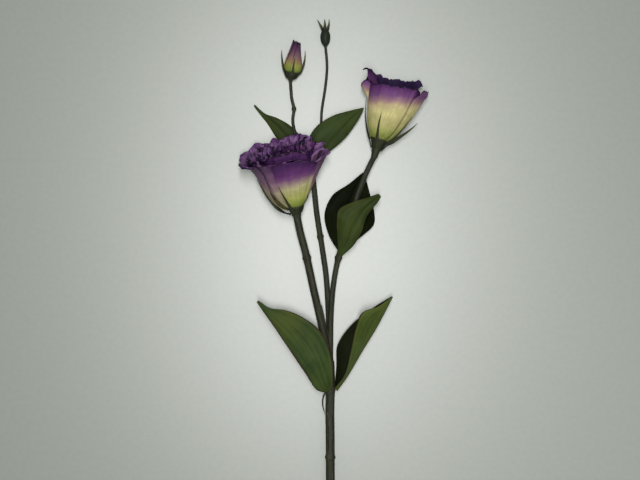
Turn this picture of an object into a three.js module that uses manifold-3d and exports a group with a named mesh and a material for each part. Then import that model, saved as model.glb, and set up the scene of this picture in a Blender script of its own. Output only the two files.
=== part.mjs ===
// A cut spray of lisianthus (Eustoma) lying on a flat surface.
//
// One forked stem carries a full double bloom, a half-open cup bloom, a half-open bud and a
// closed bud, with three pairs of leaves. Millimetres, +Z up. The spray points along +Y, and
// the origin is under the middle of its box, on the surface that it lies on.

import * as THREE from 'three';
import { mergeVertices } from 'three/addons/utils/BufferGeometryUtils.js';
import Module from 'manifold-3d';

const wasm = await Module();
wasm.setup();

// ---------------------------------------------------------------- driving dimensions

const MAIN_RADIUS = 3.5;
const LEFT_BRANCH_RADIUS = 2.9;
const CENTRE_BRANCH_RADIUS = 2.15;
const RIGHT_BRANCH_RADIUS = 2.1;
const HALF_OPEN_STALK_RADIUS = 1.25;
const CLOSED_STALK_RADIUS = 1.1;

const BLADE_THICKNESS = 0.8; // leaves and petals
const SEPAL_THICKNESS = 0.9;
const GAP = 0.3; // between one piece and the next
const SMOOTHING = 0.08; // facets that differ by less than this are merged
const ROLL_FROM = 0.75; // where along a petal its rim begins to roll out
const STEM_STEP = 15; // length of one straight stretch of a tube
const STEM_SIDES = 8;
const BLOOM_SIDES = 10;
const LOBE_SIDES = 6;

// How many facets each kind of blade has, across and along.
const LEAF_GRID = [4, 10];
const PETAL_GRID = [4, 5];
const SEPAL_GRID = [1, 6];
const STAMEN_GRID = [1, 4];

// How much the petals of one whorl differ: shares of their width and height, and degrees.
const VARIED_RADIUS = 0.06;
const VARIED_HEIGHT = 0.03;
const VARIED_TURN = 5;

const SHIFT = [-0.62, 1.5, 0]; // moves the plan coordinates below so that the box is centred

// ---------------------------------------------------------------- finishes

const FINISHES = {
  stem: { color: 0x3b4030, roughness: 0.75 },
  leaf: { color: 0x3f5225, roughness: 0.6 },
  leafBack: { color: 0x1c2410, roughness: 0.7 },
  calyx: { color: 0x4a5230, roughness: 0.7 },
  petal: { color: 0x5a3468, roughness: 0.65 },
  paleBud: { color: 0x7d6a52, roughness: 0.65 },
  pistil: { color: 0x8fa050, roughness: 0.6 },
};

// ---------------------------------------------------------------- small tools

const point = ([x, y, z]) => new THREE.Vector3(x, y, z);
const curveThrough = (points) => new THREE.CatmullRomCurve3(points.map(point), false, 'centripetal');
const mix = (a, b, t) => a + (b - a) * t;
const radians = THREE.MathUtils.degToRad;

// A repeatable draw between -1 and 1.
function draw(seed) {
  const wide = Math.sin(seed * 12.9898) * 43758.5453;
  return 2 * (wide - Math.floor(wide)) - 1;
}

function toSolid(geometry) {
  const bare = geometry.clone();
  bare.deleteAttribute('normal');
  bare.deleteAttribute('uv');
  const merged = mergeVertices(bare, 1e-4);
  const vertProperties = new Float32Array(merged.attributes.position.array);
  const triVerts = new Uint32Array(merged.index.array);
  return new wasm.Manifold(new wasm.Mesh({ numProp: 3, vertProperties, triVerts }));
}

const join = (solids) => solids.reduce((whole, next) => whole.add(next));

// The one body that counts: sealed hollows are filled and loose scraps are dropped.
function mainBody(solid) {
  const bodies = solid.decompose();
  return bodies.reduce((best, next) => (next.volume() > best.volume() ? next : best));
}

function meshOf(name, solid, finish) {
  const standing = solid.simplify(SMOOTHING).trimByPlane([0, 0, 1], 0);
  const { vertProperties, triVerts } = mainBody(standing).getMesh();
  const geometry = new THREE.BufferGeometry();
  geometry.setAttribute('position', new THREE.BufferAttribute(vertProperties, 3));
  geometry.setIndex(new THREE.BufferAttribute(triVerts, 1));
  geometry.computeVertexNormals();
  const mesh = new THREE.Mesh(geometry, new THREE.MeshStandardMaterial(FINISHES[finish]));
  mesh.name = name;
  return mesh;
}

// A round tube along a curve.
function tube(curve, radius) {
  const section = new THREE.Shape();
  for (let side = 0; side < STEM_SIDES; side += 1) {
    const turn = (2 * Math.PI * side) / STEM_SIDES;
    const corner = [radius * Math.cos(turn), radius * Math.sin(turn)];
    if (side === 0) section.moveTo(...corner);
    else section.lineTo(...corner);
  }
  const steps = Math.max(2, Math.round(curve.getLength() / STEM_STEP));
  return toSolid(new THREE.ExtrudeGeometry(section, { steps, bevelEnabled: false, extrudePath: curve }));
}

// A turned body whose profile is [radius, height] pairs, standing at a point along a direction.
function turned(profile, at, direction, sides = STEM_SIDES) {
  const geometry = new THREE.LatheGeometry(profile.map(([r, h]) => new THREE.Vector2(r, h)), sides);
  const turn = new THREE.Quaternion().setFromUnitVectors(new THREE.Vector3(0, 1, 0), direction);
  geometry.applyQuaternion(turn);
  geometry.translate(at.x, at.y, at.z);
  return toSolid(geometry);
}

// A closed blade over surface(u, v), with u from -1 to 1 across and v from 0 to 1 along.
// Both faces are split into triangles the same way, so that they never cross.
function blade(surface, [across, along], thickness) {
  const columns = across + 1;
  const count = columns * (along + 1);
  const positions = new Float32Array(count * 6);
  const nudge = 1e-3;
  for (let row = 0; row <= along; row += 1) {
    for (let column = 0; column <= across; column += 1) {
      const u = -1 + (2 * column) / across;
      const v = row / along;
      const middle = surface(u, v);
      const sideways = surface(Math.min(1, u + nudge), v).sub(surface(Math.max(-1, u - nudge), v));
      const onward = surface(u, Math.min(1, v + nudge)).sub(surface(u, Math.max(0, v - nudge)));
      const normal = sideways.cross(onward).normalize().multiplyScalar(thickness / 2);
      const index = row * columns + column;
      middle.clone().add(normal).toArray(positions, index * 3);
      middle.clone().sub(normal).toArray(positions, (count + index) * 3);
    }
  }
  const triangles = [];
  const quad = (a, b, c, d) => triangles.push(a, b, c, a, c, d);
  for (let row = 0; row < along; row += 1) {
    for (let column = 0; column < across; column += 1) {
      const a = row * columns + column;
      const b = a + 1;
      const c = b + columns;
      const d = a + columns;
      quad(a, b, c, d);
      triangles.push(count + a, count + c, count + b, count + a, count + d, count + c);
    }
  }
  const rim = [];
  for (let column = 0; column < across; column += 1) rim.push(column);
  for (let row = 0; row < along; row += 1) rim.push(row * columns + across);
  for (let column = across; column > 0; column -= 1) rim.push(along * columns + column);
  for (let row = along; row > 0; row -= 1) rim.push(row * columns);
  rim.forEach((here, index) => {
    const next = rim[(index + 1) % rim.length];
    quad(here, count + here, count + next, next);
  });
  const geometry = new THREE.BufferGeometry();
  geometry.setAttribute('position', new THREE.BufferAttribute(positions, 3));
  geometry.setIndex(triangles);
  return toSolid(geometry);
}

// ---------------------------------------------------------------- stem

// Each route ends at the foot of the bloom or bud that it carries.
const STEM_ROUTES = {
  main: {
    radius: MAIN_RADIUS,
    route: [[-1.7, -187, 3.1], [-2, -158, 5.3], [-2.1, -133, 7.2], [-2.3, -115, 8.4], [-2.1, -102, 9.3],
      [-1.9, -89, 10.2], [-2.4, -75, 11]],
  },
  left: {
    radius: LEFT_BRANCH_RADIUS,
    route: [[-2.4, -79, 10.8], [-5.2, -63, 12.3], [-9.9, -41.5, 14.4], [-15.3, -17.5, 16.8],
      [-20.5, 6.5, 19.2], [-24.7, 22.5, 20.8]],
  },
  centre: {
    radius: CENTRE_BRANCH_RADIUS,
    route: [[-1.8, -74, 10.5], [-3.5, -36, 10], [-5, -11.5, 9.6], [-7.5, 6.7, 9.2], [-12.2, 37, 7.9],
      [-14.3, 56.7, 6.6], [-16.4, 76, 5.2]],
  },
  right: {
    radius: RIGHT_BRANCH_RADIUS,
    route: [[-1.8, -71, 10.8], [-1.4, -41.5, 12], [0, -21, 13], [2.4, -5.3, 13.8], [4.6, 4.5, 14.4],
      [10.2, 24, 15.4], [18.4, 49.5, 16.6], [25.8, 68.5, 17.3]],
  },
  halfOpen: {
    radius: HALF_OPEN_STALK_RADIUS,
    route: [[-16.4, 73.5, 5.2], [-22.5, 84, 4.9], [-27.6, 94.7, 5.2], [-30.4, 107, 5.8], [-29.5, 116, 6.3],
      [-31.2, 124, 6.7], [-31.7, 130, 7]],
  },
  closed: {
    radius: CLOSED_STALK_RADIUS,
    route: [[-16.4, 73.5, 5.2], [-12.1, 86.5, 5], [-9.2, 100, 4.9], [-8.5, 113.7, 4.9], [-5.4, 135, 4.9],
      [-4.4, 148.7, 4.9]],
  },
  shred: { // torn bark that hangs from the lowest leaf node
    radius: 0.6,
    route: [[-4.6, -97.5, 11], [-7, -101.5, 11.4], [-7.8, -107.4, 11], [-6.6, -113, 10], [-5.4, -116.7, 9.4]],
  },
  bract: { // it clasps the left branch above the fork
    radius: 1,
    route: [[-9.4, -32.5, 16.4], [-7.4, -41, 15.4], [-5.4, -49.5, 14.2], [-4.2, -58, 12.6]],
  },
};

// Swellings where leaves or bracts grow: branch, place along it from 0 to 1, and size. Their
// ends are a little narrower than the stem, and so sunk in it.
const NODE_EDGE = 0.9;
const STEM_NODES = [
  { branch: 'main', at: 0.36, swell: 1.12, reach: 1.6 },
  { branch: 'main', at: 0.82, swell: 1.2, reach: 4.5 },
  { branch: 'left', at: 0.72, swell: 1.15, reach: 1.8 },
  { branch: 'centre', at: 0.62, swell: 1.2, reach: 1.6 },
  { branch: 'centre', at: 0.985, swell: 1.45, reach: 4 },
  { branch: 'right', at: 0.48, swell: 1.3, reach: 3.5 },
  { branch: 'halfOpen', at: 0.68, swell: 1.35, reach: 1.8 },
];

// ---------------------------------------------------------------- leaves

// Each leaf is spanned by three lines from its base to its tip: midrib, left and right margin.
const LEAVES = {
  leaf_lower_left: {
    finish: 'leaf',
    bow: 1.5,
    rib: [[-5.6, -98.2, 12.8], [-12.1, -96, 16.5], [-20.5, -83.6, 20.5], [-32.6, -65.3, 24],
      [-43.3, -49.2, 25.5], [-51.2, -38, 25.5], [-57, -29.8, 24]],
    left: [[-7.9, -98.1, 9.6], [-10.9, -92.8, 6], [-20.4, -75.5, 4], [-31.8, -55.6, 6],
      [-45.2, -37.9, 12], [-56.2, -29.5, 22]],
    right: [[-0.7, -96.6, 13.2], [0, -81.5, 17.5], [-2.6, -66, 21], [-10, -51, 23.5],
      [-22.2, -41.4, 25.5], [-35, -36, 26], [-47.3, -34.1, 25.5], [-55.6, -28.6, 24.4]],
  },
  leaf_lower_right: {
    finish: 'leaf',
    bow: 1.5,
    rib: [[3.1, -97.3, 10.5], [10.3, -87.3, 13.5], [22.9, -65.8, 15.5], [33.6, -48, 16.5],
      [39.7, -36.5, 17], [45, -26.2, 17]],
    left: [[1.4, -95.6, 8], [2.7, -78.9, 8.5], [3.1, -64.5, 9], [7.7, -55.4, 9.5], [16.7, -45.1, 10],
      [29.5, -35.2, 12], [44, -25.9, 16.4]],
    right: [[1, -95.8, 13], [8.9, -83.7, 24], [13.3, -65.2, 31], [17, -48.1, 32], [21.5, -37.8, 29],
      [33.6, -33, 24], [44, -26.2, 18]],
  },
  leaf_middle_front: {
    finish: 'leaf',
    bow: 1.5,
    rib: [[5, 4.2, 18], [9, 14.3, 22.5], [14.1, 26.9, 26], [21.5, 38.1, 27.5], [29, 45.2, 27],
      [35.1, 50, 25]],
    left: [[3.8, 6, 17.8], [3.3, 18, 22], [2.8, 29.9, 25], [4.4, 39.2, 27.5], [14.8, 44.8, 28.5],
      [26, 48.2, 27.5], [33.7, 51.1, 25.2]],
    right: [[6.6, 4.3, 17.6], [15.3, 12.4, 22], [21.3, 22.5, 24], [24.8, 33.7, 25.5], [29.4, 40, 26],
      [33.2, 44.5, 25.5], [35.8, 48.6, 24.6]],
  },
  leaf_middle_back: {
    finish: 'leafBack',
    bow: -1.5,
    rib: [[5.4, 7, 13.6], [7.6, 19.5, 10], [11.1, 35.5, 7], [15.7, 49.9, 6], [19.8, 60.5, 7.5],
      [23.2, 67.5, 9.5]],
    left: [[4, 8, 13.6], [-3.2, 20.5, 9], [-6.3, 36.2, 6], [-0.3, 50.3, 5], [12.2, 59, 6.5],
      [22.4, 67.4, 9.3]],
    right: [[7, 7.4, 13.6], [21.3, 18.8, 9.5], [31.2, 28.6, 6.5], [31.1, 40.1, 4.5], [28.2, 51.5, 4.5],
      [24, 66.5, 9.2]],
  },
  leaf_upper_left: {
    finish: 'leaf',
    bow: 0.8,
    rib: [[-18, 75.8, 2.5], [-28, 87.3, 1.5], [-37.9, 99.5, 1.1], [-47.8, 109, 1.5], [-55.4, 115.4, 2.5],
      [-59.9, 119, 3.9]],
    left: [[-19.2, 74.3, 2.3], [-31.8, 80.5, 0.9], [-42.5, 93.5, 0.1], [-49.7, 104.9, 0.5],
      [-55.8, 112.7, 1.9], [-60, 118.3, 3.7]],
    right: [[-17.6, 77.3, 2.3], [-21.2, 90.3, 1.1], [-31.1, 102.6, 0.7], [-42.5, 109.4, 1.3],
      [-52, 112.8, 2.1], [-59.3, 119.4, 3.7]],
  },
  leaf_upper_right: {
    finish: 'leaf',
    bow: 1.2,
    rib: [[-15.6, 76, 7.6], [-8.2, 84.6, 9], [0.8, 95.1, 10.2], [9.1, 104.2, 10.8], [16.7, 111.4, 10.8],
      [23.2, 116.3, 10]],
    left: [[-16.8, 77.4, 7.4], [-18.5, 92.2, 8.8], [-12, 102.7, 9.8], [-0.7, 110.1, 10.6],
      [11.4, 113.9, 10.6], [22.8, 116.6, 10]],
    right: [[-14.4, 75, 7.4], [-2.9, 83.1, 8.4], [8.4, 92.6, 9.2], [15.2, 101.2, 9.8], [20.1, 108.8, 10],
      [23.5, 115.9, 9.8]],
  },
};

function leafSurface({ rib, left, right, bow }) {
  const ribLine = curveThrough(rib);
  const margins = [curveThrough(left), curveThrough(right)];
  return (u, v) => {
    const along = ribLine.getPointAt(v);
    const margin = margins[u < 0 ? 0 : 1].getPointAt(v);
    const across = Math.abs(u);
    const lift = bow * Math.sin(Math.PI * v) * 4 * across * (1 - across);
    return along.lerp(margin, across).add(new THREE.Vector3(0, 0, lift));
  };
}

// ---------------------------------------------------------------- blooms

// A bloom's own frame: its root, the way it faces, and the two directions round its axis.
// lean turns the axis from +Y towards +X, and tip raises it towards +Z, in degrees.
function bloomFrame({ root, lean, tip }) {
  const sideways = Math.cos(radians(tip)) * Math.sin(radians(lean));
  const onward = Math.cos(radians(tip)) * Math.cos(radians(lean));
  const axis = new THREE.Vector3(sideways, onward, Math.sin(radians(tip)));
  const up = new THREE.Vector3(0, 0, 1);
  up.addScaledVector(axis, -up.dot(axis)).normalize();
  return { root: point(root), axis, up, side: new THREE.Vector3().crossVectors(axis, up) };
}

// The point at a radius and a height, turned from the upper side towards the right.
function inFrame(frame, turn, radius, height) {
  return frame.root.clone()
    .addScaledVector(frame.axis, height)
    .addScaledVector(frame.up, radius * Math.cos(turn))
    .addScaledVector(frame.side, radius * Math.sin(turn));
}

const bezier = (a, b, c, d, t) => {
  const s = 1 - t;
  return s * s * s * a + 3 * s * s * t * b + 3 * s * t * t * c + t * t * t * d;
};

// One petal, sepal or other blade of a bloom. turn and spread are degrees round the axis. line
// is its way up, as four control points of a curve, each a radius and a height. lap lifts one
// edge over the next blade, slant raises the left and the right edge, corner rounds the rim,
// ruffle and waves wave it, and roll bends it out and down.
const PETAL = {
  spread: 46, lap: 1.2, corner: 0.15, ruffle: 1, waves: 2, phase: 0, swirl: 6, roll: 1.5, width: 0.72,
  slant: [0, 0],
};
const RUFFLED = { ruffle: 2.1, waves: 2.8, roll: 2 };
const EVEN = { ruffle: 0.4, roll: 0.7 };

function petalSurface(frame, options) {
  const p = { ...PETAL, ...options };
  const [radii, heights] = [0, 1].map((part) => p.line.map((control) => control[part]));
  return (u, v) => {
    const t = v * (1 - p.corner * Math.abs(u) ** 3);
    const rim = t ** 4;
    const curl = p.roll * Math.max(0, (t - ROLL_FROM) / (1 - ROLL_FROM)) ** 2;
    const wave = Math.sin(Math.PI * p.waves * u + p.phase);
    const dip = Math.cos(0.8 * Math.PI * p.waves * u + 1.7 * p.phase);
    const radius = bezier(...radii, t) + p.lap * u * t + p.ruffle * wave * rim + curl;
    const slant = (u < 0 ? -p.slant[0] : p.slant[1]) * u * t;
    const height = bezier(...heights, t) + slant + 0.6 * p.ruffle * dip * rim - curl;
    const width = p.spread * mix(p.width, 1, Math.sin((Math.PI / 2) * t));
    return inFrame(frame, radians(p.turn + width * u + p.swirl * t), radius, height);
  };
}

// A whorl of alike petals, each a little different. own holds what is special to one of them.
function whorl({ count, first, seed, line, own = {}, ...shape }) {
  return Array.from({ length: count }, (_, index) => {
    const wide = 1 + VARIED_RADIUS * draw(seed + index + 0.3);
    const tall = 1 + VARIED_HEIGHT * draw(seed + index + 0.6);
    return {
      ...shape,
      turn: first + (360 / count) * index + VARIED_TURN * draw(seed + index),
      line: line.map(([radius, height]) => [radius * wide, height * tall]),
      phase: Math.PI * draw(seed + index + 0.9),
      ...own[index],
    };
  });
}

// A sepal is a narrow blade: its line, how far round it stands, and its width at the foot.
function sepalSurface(frame, { turn, line, foot }) {
  const [radii, heights] = [0, 1].map((part) => line.map((control) => control[part]));
  return (u, v) => {
    const half = (foot / 2) * mix(1, 0.3, v ** 1.5);
    const radius = bezier(...radii, v);
    return inFrame(frame, radians(turn), radius, bezier(...heights, v))
      .addScaledVector(frame.side, half * u * Math.cos(radians(turn)))
      .addScaledVector(frame.up, -half * u * Math.sin(radians(turn)));
  };
}

const BLOOM_LEFT = {
  root: [-28.1, 40, 23.4],
  lean: -9.6,
  tip: 16,
  stalk: 'left',
  calyx: [[3.2, -6], [3.9, -3.4], [5.4, -0.6]],
  heart: [[4.6, 0], [7.5, 5], [5, 10]],
  petals: [
    { turn: 6, spread: 38, line: [[3.5, 1], [18, 6], [19, 31], [28, 43]], slant: [-1.5, -6], ...EVEN },
    { turn: 76, spread: 30, line: [[3.5, 1], [15, 5], [20, 24], [30, 39]], slant: [3, -3], ...EVEN },
    {
      turn: -100, spread: 44, line: [[3.5, 1], [26, 6], [18, 31], [34.5, 41]],
      slant: [6, 0], corner: 0.05, lap: -3, ruffle: 0.4,
    },
    { turn: 150, spread: 48, line: [[3.5, 1], [15, 9], [19, 32], [24, 49.5]], slant: [2, 0] },
    { turn: -142, spread: 46, line: [[3.5, 1], [16, 8], [22, 30], [28, 47.5]] },
    { turn: -48, spread: 36, line: [[3.5, 1], [20, 4], [23, 26], [29, 41.5]], ruffle: 0.5 },
    ...whorl({
      ...RUFFLED, count: 5, first: 46, seed: 11, line: [[3.2, 1], [14, 8], [18, 30], [25, 45]],
      own: {
        0: { turn: 74, spread: 40, line: [[3.2, 1], [14, 8], [19, 30], [28, 43.5]], ruffle: 1.2 },
        4: { turn: -10, spread: 54, line: [[3.2, 1], [14, 8], [18, 30], [24, 47.5]], ruffle: 0.8 },
      },
    }),
    ...whorl({
      ...RUFFLED, count: 6, first: 12, seed: 23, spread: 40, line: [[3, 1], [12, 8], [16, 30], [20, 46.5]],
    }),
    ...whorl({
      ...RUFFLED, count: 5, first: 50, seed: 37, spread: 44, line: [[2.8, 1], [9, 9], [12.5, 30], [15, 48]],
    }),
    ...whorl({
      ...RUFFLED, count: 4, first: 5, seed: 53, spread: 50, line: [[2.5, 1], [6, 10], [8, 30], [9, 48.5]],
    }),
  ],
  sepals: [
    { turn: -86, line: [[4, -1.5], [14, 0.5], [22, 14], [26.5, 28]], foot: 3 },
    { turn: -32, line: [[4, -1.5], [14, 1], [21, 9], [23.5, 21]], foot: 2.4 },
    { turn: 66, line: [[4, -1.5], [9, 0], [13, 4], [16.5, 11]], foot: 2.6 },
    { turn: 134, line: [[4, -1.5], [12, 2], [17, 12], [21, 26]], foot: 2.4 },
    { turn: -150, line: [[4, -1.5], [13, 1], [19, 10], [24, 24]], foot: 2.4 },
  ],
};

const BLOOM_RIGHT = {
  root: [34.2, 91, 16.6],
  lean: 15,
  tip: 5,
  stalk: 'right',
  calyx: [[2.3, -13], [2.9, -9.5], [4.4, -4.5], [5.8, -0.6]],
  heart: [[4.6, 0], [7.2, 4], [5, 8]],
  petals: [
    { turn: 70, spread: 20, line: [[3.5, 1], [13.5, 5], [20, 22], [26, 44.5]], ...EVEN },
    { turn: -26, spread: 46, line: [[3.5, 1], [11, 2], [17.5, 22], [19.5, 42]], slant: [-2, 2], ...EVEN },
    { turn: 42, spread: 44, line: [[3.5, 1], [12, 3], [18.5, 22], [20.5, 44]], slant: [0, -1.5], ...EVEN },
    { turn: 162, spread: 50, line: [[3.5, 1], [12, 5], [17, 24], [20.6, 48.5]], ...EVEN },
    { turn: -98, spread: 46, line: [[3.5, 1], [8.5, 5], [18, 20], [22, 43]], ...EVEN },
    ...whorl({ ...EVEN, count: 5, first: -82, seed: 71, line: [[3.2, 1], [10, 8], [16, 24], [17.5, 49]] }),
  ],
  curls: [ // rolled points of the rim
    { turn: -89, line: [[16.5, 41], [17, 50], [18, 54], [24, 49.5]], foot: 4 },
    { turn: 97, line: [[16.5, 41], [17, 50], [18.5, 54], [23.5, 49.5]], foot: 4 },
  ],
  sepals: [
    { turn: -14, line: [[4, -1.5], [11, 3], [15.5, 11], [18, 21]], foot: 2 },
    { turn: 72, line: [[4.5, -2], [12.5, 2.5], [18.5, 10], [21.5, 24]], foot: 2.4 },
    { turn: 94, line: [[4, -5], [9, 2.5], [19, 9], [25, 20.5]], foot: 2.4 },
    { turn: -90, line: [[4.5, -2], [8.5, 3], [16.5, 11], [19, 26]], foot: 2.2 },
    { turn: 176, line: [[4.5, -2], [11, 3], [16, 12], [18.5, 24]], foot: 2.2 },
  ],
};

const BUD_HALF_OPEN = {
  root: [-31.7, 140.4, 7.4],
  lean: 9.5,
  tip: 1,
  stalk: 'halfOpen',
  calyx: [[1.35, -3.6], [3.4, -1], [4.9, 1.8]],
  heart: [[2.6, 2.1], [4.2, 8], [3, 18]],
  petals: whorl({
    count: 4, first: 30, seed: 83, spread: 62, swirl: 50, lap: 0.6, corner: 0.1, roll: 0.4, ruffle: 0.3,
    line: [[2.2, 2.8], [7, 7], [6.2, 18], [1.7, 27.5]],
  }),
  sepals: [
    { turn: -84, line: [[3.4, 0], [7.5, 3], [8, 10], [10.4, 19]], foot: 2.2 },
    { turn: 84, line: [[3.4, 0], [8, 3], [7.6, 10], [7.2, 20]], foot: 2.2 },
    { turn: 8, line: [[3.4, 0], [7.4, 3], [7.4, 8], [6.6, 14]], foot: 2.2 },
    { turn: -140, line: [[3.4, 0], [7, 3], [6.8, 10], [7, 18]], foot: 2 },
    { turn: 150, line: [[3.4, 0], [7, 3], [6.8, 10], [7, 16]], foot: 2 },
  ],
};

const BUD_CLOSED = {
  root: [-5.6, 163.6, 4.9],
  lean: -1,
  tip: 0,
  stalk: 'closed',
  profile: [[1.15, 0], [2.9, 2.6], [3.75, 6.5], [3.3, 10], [1.9, 12.6]],
  sepals: [
    { turn: -96, line: [[2.8, 3], [4.6, 6.5], [3, 12], [6, 20]], foot: 1.8 },
    { turn: -12, line: [[2.8, 3], [4.8, 6.5], [1.8, 12], [1, 20.5]], foot: 1.8 },
    { turn: 84, line: [[2.8, 3], [4.6, 6.5], [1.8, 12], [2.8, 20.5]], foot: 1.8 },
    { turn: 178, line: [[2.8, 3], [4.8, 6.5], [2, 12], [2.4, 19]], foot: 1.8 },
  ],
};

// The pistil of the open cup, with stamens round its ovary.
const PISTIL = {
  ovary: [[2.4, 8.4], [3, 11], [2.4, 15], [1.1, 17], [1, 25]],
  lobe: [[0.5, 0], [1.9, 1.4], [1.8, 3], [0.6, 4.2]],
  lobeLean: 34,
  lobeDepth: 0.4, // of its foot in the style
  stamens: 5,
  firstStamen: 20,
  stamen: { line: [[2.4, 10], [4, 12], [4.6, 16], [5.4, 20.5]], foot: 1.2 },
};

const closeProfile = (profile) => [[0, profile[0][1]], ...profile, [0, profile.at(-1)[1]]];

function petalsSolid({ petals, heart, curls = [], ...bloom }, thickness = BLADE_THICKNESS) {
  const frame = bloomFrame(bloom);
  const blades = petals.map((petal) => blade(petalSurface(frame, petal), PETAL_GRID, thickness));
  const hooks = curls.map((curl) => blade(sepalSurface(frame, curl), SEPAL_GRID, thickness));
  return join([turned(closeProfile(heart), frame.root, frame.axis, BLOOM_SIDES), ...blades, ...hooks]);
}

function calyxSolid({ calyx, sepals, ...bloom }, petals) {
  const frame = bloomFrame(bloom);
  const cup = turned(closeProfile(calyx), frame.root, frame.axis, BLOOM_SIDES);
  const blades = sepals.map((sepal) => blade(sepalSurface(frame, sepal), SEPAL_GRID, SEPAL_THICKNESS));
  return join([cup, ...blades]).subtract(petals).subtract(stemClearance);
}

function closedBudSolid({ profile, sepals, ...bud }) {
  const frame = bloomFrame(bud);
  const body = turned(closeProfile(profile), frame.root, frame.axis, BLOOM_SIDES);
  const blades = sepals.map((sepal) => blade(sepalSurface(frame, sepal), SEPAL_GRID, SEPAL_THICKNESS));
  return join([body, ...blades]);
}

function pistilSolid({ ovary, lobe, lobeLean, lobeDepth, stamens, firstStamen, stamen }, bloom) {
  const frame = bloomFrame(bloom);
  const parts = [turned(closeProfile(ovary), frame.root, frame.axis, BLOOM_SIDES)];
  const top = inFrame(frame, 0, 0, ovary.at(-1)[1] - lobeDepth);
  for (const way of [-1, 1]) {
    const direction = frame.axis.clone().applyAxisAngle(frame.up, way * radians(lobeLean));
    parts.push(turned(closeProfile(lobe), top, direction, LOBE_SIDES));
  }
  for (let index = 0; index < stamens; index += 1) {
    const turn = (360 / stamens) * index + firstStamen;
    parts.push(blade(sepalSurface(frame, { ...stamen, turn }), STAMEN_GRID, SEPAL_THICKNESS));
  }
  return join(parts);
}

// ---------------------------------------------------------------- stem solids

// The middle of the foot that a bloom or bud is carried by.
function footOf({ calyx, profile, ...bloom }, extra) {
  return inFrame(bloomFrame(bloom), 0, 0, (calyx ?? profile)[0][1] + extra).toArray();
}

// The stem's centre lines. extra lengthens those that end at a bloom.
function stemCurves(extra) {
  const carried = [BLOOM_LEFT, BLOOM_RIGHT, BUD_HALF_OPEN, BUD_CLOSED];
  const ends = new Map(carried.map((bloom) => [bloom.stalk, bloom]));
  return Object.fromEntries(Object.entries(STEM_ROUTES).map(([name, { route }]) => {
    const end = ends.has(name) ? [footOf(ends.get(name), extra)] : [];
    return [name, curveThrough([...route, ...end])];
  }));
}

// The whole stem, with extra added to every radius.
function stemSolid(extra = 0) {
  const curves = stemCurves(extra);
  const tubes = Object.entries(STEM_ROUTES).map(([name, { radius }]) => tube(curves[name], radius + extra));
  const nodes = STEM_NODES.map(({ branch, at, swell, reach }) => {
    const radius = STEM_ROUTES[branch].radius + extra;
    const profile = [[radius * NODE_EDGE, -reach], [radius * swell, 0], [radius * NODE_EDGE, reach]];
    return turned(closeProfile(profile), curves[branch].getPointAt(at), curves[branch].getTangentAt(at));
  });
  return join([...tubes, ...nodes]);
}

// ---------------------------------------------------------------- the spray

const spray = new THREE.Group();
const stem = stemSolid();
const stemClearance = stemSolid(GAP);

spray.add(meshOf('stem', stem, 'stem'));
for (const [name, leaf] of Object.entries(LEAVES)) {
  const solid = blade(leafSurface(leaf), LEAF_GRID, BLADE_THICKNESS).subtract(stemClearance);
  spray.add(meshOf(name, solid, leaf.finish));
}
for (const [name, bloom, finish] of [
  ['bloom_left', BLOOM_LEFT, 'petal'],
  ['bloom_right', BLOOM_RIGHT, 'petal'],
  ['bud_half_open', BUD_HALF_OPEN, 'paleBud'],
]) {
  const petals = petalsSolid(bloom);
  const clearance = petalsSolid(bloom, BLADE_THICKNESS + 2 * GAP);
  spray.add(meshOf(`${name}_petals`, petals, finish));
  spray.add(meshOf(`${name}_calyx`, calyxSolid(bloom, clearance), 'calyx'));
}
spray.add(meshOf('bloom_right_pistil', pistilSolid(PISTIL, BLOOM_RIGHT), 'pistil'));
spray.add(meshOf('bud_closed', closedBudSolid(BUD_CLOSED).subtract(stemClearance), 'calyx'));

spray.position.fromArray(SHIFT);

export default spray;
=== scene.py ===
"""A cut lisianthus spray lying on a pale surface, seen from straight above.

Each piece repeats a solid of the frame on a fine grid, along the same lines, and adds thin blades,
frilled rims, veins and colour. Sizes are in millimetres, angles in degrees, and both are turned
into metres and radians where they are used.
"""

import math

import bpy  # noqa: E402
import numpy as np  # noqa: E402
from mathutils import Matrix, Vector, kdtree  # noqa: E402


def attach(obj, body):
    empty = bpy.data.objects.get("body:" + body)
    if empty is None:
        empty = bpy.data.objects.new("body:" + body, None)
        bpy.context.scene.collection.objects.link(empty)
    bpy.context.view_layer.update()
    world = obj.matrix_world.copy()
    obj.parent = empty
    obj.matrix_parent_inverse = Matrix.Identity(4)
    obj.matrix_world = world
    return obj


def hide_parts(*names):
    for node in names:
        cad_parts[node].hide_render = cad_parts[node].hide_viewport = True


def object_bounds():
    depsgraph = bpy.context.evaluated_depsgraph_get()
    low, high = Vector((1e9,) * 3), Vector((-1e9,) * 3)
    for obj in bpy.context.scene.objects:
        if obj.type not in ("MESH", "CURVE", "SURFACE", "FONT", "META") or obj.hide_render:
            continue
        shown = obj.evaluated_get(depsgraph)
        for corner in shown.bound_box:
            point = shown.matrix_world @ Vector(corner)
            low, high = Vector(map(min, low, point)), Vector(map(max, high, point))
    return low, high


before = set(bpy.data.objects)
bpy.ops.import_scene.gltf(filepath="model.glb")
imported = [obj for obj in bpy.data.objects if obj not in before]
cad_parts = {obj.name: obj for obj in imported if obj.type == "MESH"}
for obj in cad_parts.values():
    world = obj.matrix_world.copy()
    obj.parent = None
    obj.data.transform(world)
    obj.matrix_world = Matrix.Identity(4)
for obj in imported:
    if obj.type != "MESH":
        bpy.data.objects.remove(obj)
CAD_BOX = [list(corner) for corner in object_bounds()]

# ---------------------------------------------------------------- sizes

MM = 0.001
SHIFT = np.array([-0.62, 1.5, 0.0])  # from the plan coordinates below to the frame

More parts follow.
